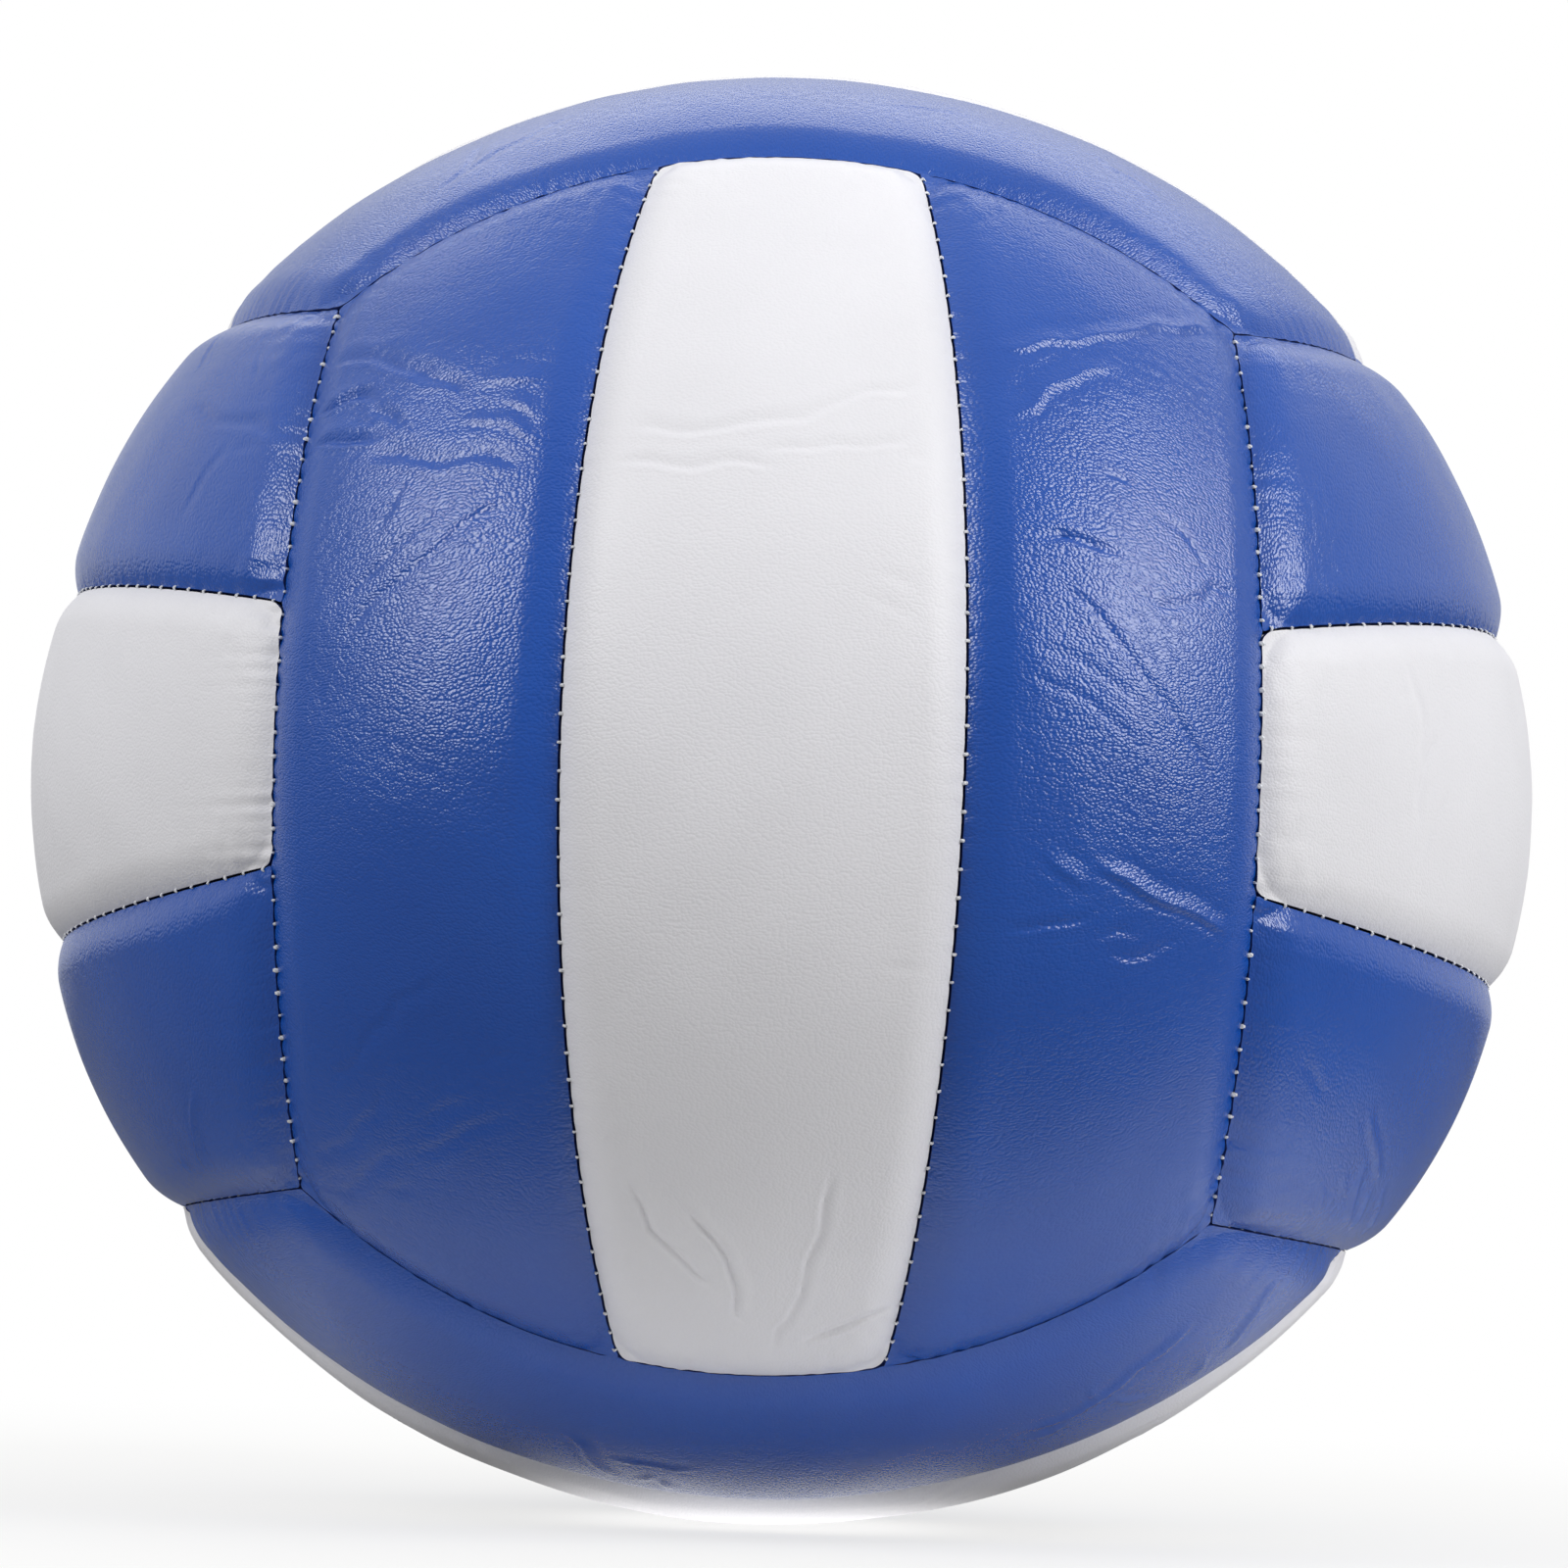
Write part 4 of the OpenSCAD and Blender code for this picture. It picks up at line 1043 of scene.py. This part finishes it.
def add_softbox(name, azimuth, elevation, distance, width, height, watts):
    """A soft lamp that faces the ball. Azimuth 0 is at the camera's side, and grows to the right."""
    a, e = math.radians(azimuth), math.radians(elevation)
    place = Vector((math.sin(a) * math.cos(e), -math.cos(a) * math.cos(e), math.sin(e))) * distance
    data = bpy.data.lights.new(name, "AREA")
    data.shape = "RECTANGLE"
    data.size, data.size_y = width, height
    data.energy = watts
    lamp = bpy.data.objects.new(name, data)
    bpy.context.scene.collection.objects.link(lamp)
    lamp.location = place
    lamp.rotation_mode = "QUATERNION"
    lamp.rotation_quaternion = (-place).to_track_quat("-Z", "Y")
    lamp.visible_camera = False


def set_light():
    """A large softbox at each side, and weaker ones above the ball and behind it."""
    add_softbox("left_softbox", azimuth=-50, elevation=29, distance=1.1, width=0.40, height=0.56, watts=4.7)
    add_softbox("right_softbox", azimuth=57, elevation=25, distance=1.1, width=0.46, height=0.68, watts=7.0)
    add_softbox("top_softbox", azimuth=0, elevation=58, distance=1.2, width=1.3, height=0.8, watts=0.7)
    add_softbox("back_softbox", azimuth=176, elevation=48, distance=1.2, width=1.4, height=0.5, watts=2.4)


# Build
bpy.context.scene.view_settings.view_transform = "Standard"
set_camera()
leather_grain = make_grain_group()
skin_tone = make_tone_group()
blue_leather = make_cover_leather(
    "blue_leather", srgb(8, 69, 159), srgb(13, 79, 173), rough=0.19, gloss=0.72, grain_depth=0.00005,
    grain=leather_grain, tone=skin_tone)
white_leather = make_cover_leather(
    "white_leather", srgb(226, 225, 229), srgb(234, 233, 237), rough=0.42, gloss=0.4, grain_depth=0.00003,
    grain=leather_grain, tone=skin_tone)
# Dark navy for the turned-in rims of all strips, white ones too: painted shade in the seams
painted_seam_shade = make_spotted_material(
    "painted_seam_shade", srgb(14, 34, 92), srgb(22, 48, 120), spots=2500, rough=0.8, depth=0.00003)
thread = make_thread_material()
for cover_name, (_, cover_strip) in STRIPS.items():
    make_cover(cover_name, white_leather if cover_strip == MIDDLE else blue_leather, painted_seam_shade)
for sewn_face in FACES:
    inside = [(sewn_face, seam_beside(MIDDLE, side), 0.0) for side in (LOW, HIGH)]
    sew(sewn_face + "_thread", sewn_face + "_stitches", inside,
        span=0.85, thread_d=0.40, lift=0.10, uneven=0.0, material=thread)
for sewn_edge, sewn_faces in EDGE_THREADS.items():
    around = [
        (face, seam_beside(side, side), SUNK.get(face, 0.0)) for face in sewn_faces for side in (LOW, HIGH)]
    sew(sewn_edge + "_thread", sewn_edge + "_stitches", around,
        span=1.05, thread_d=0.48, lift=0.0, uneven=0.2, material=thread)
finish_inner_parts()
set_stage()
set_surround()
set_light()
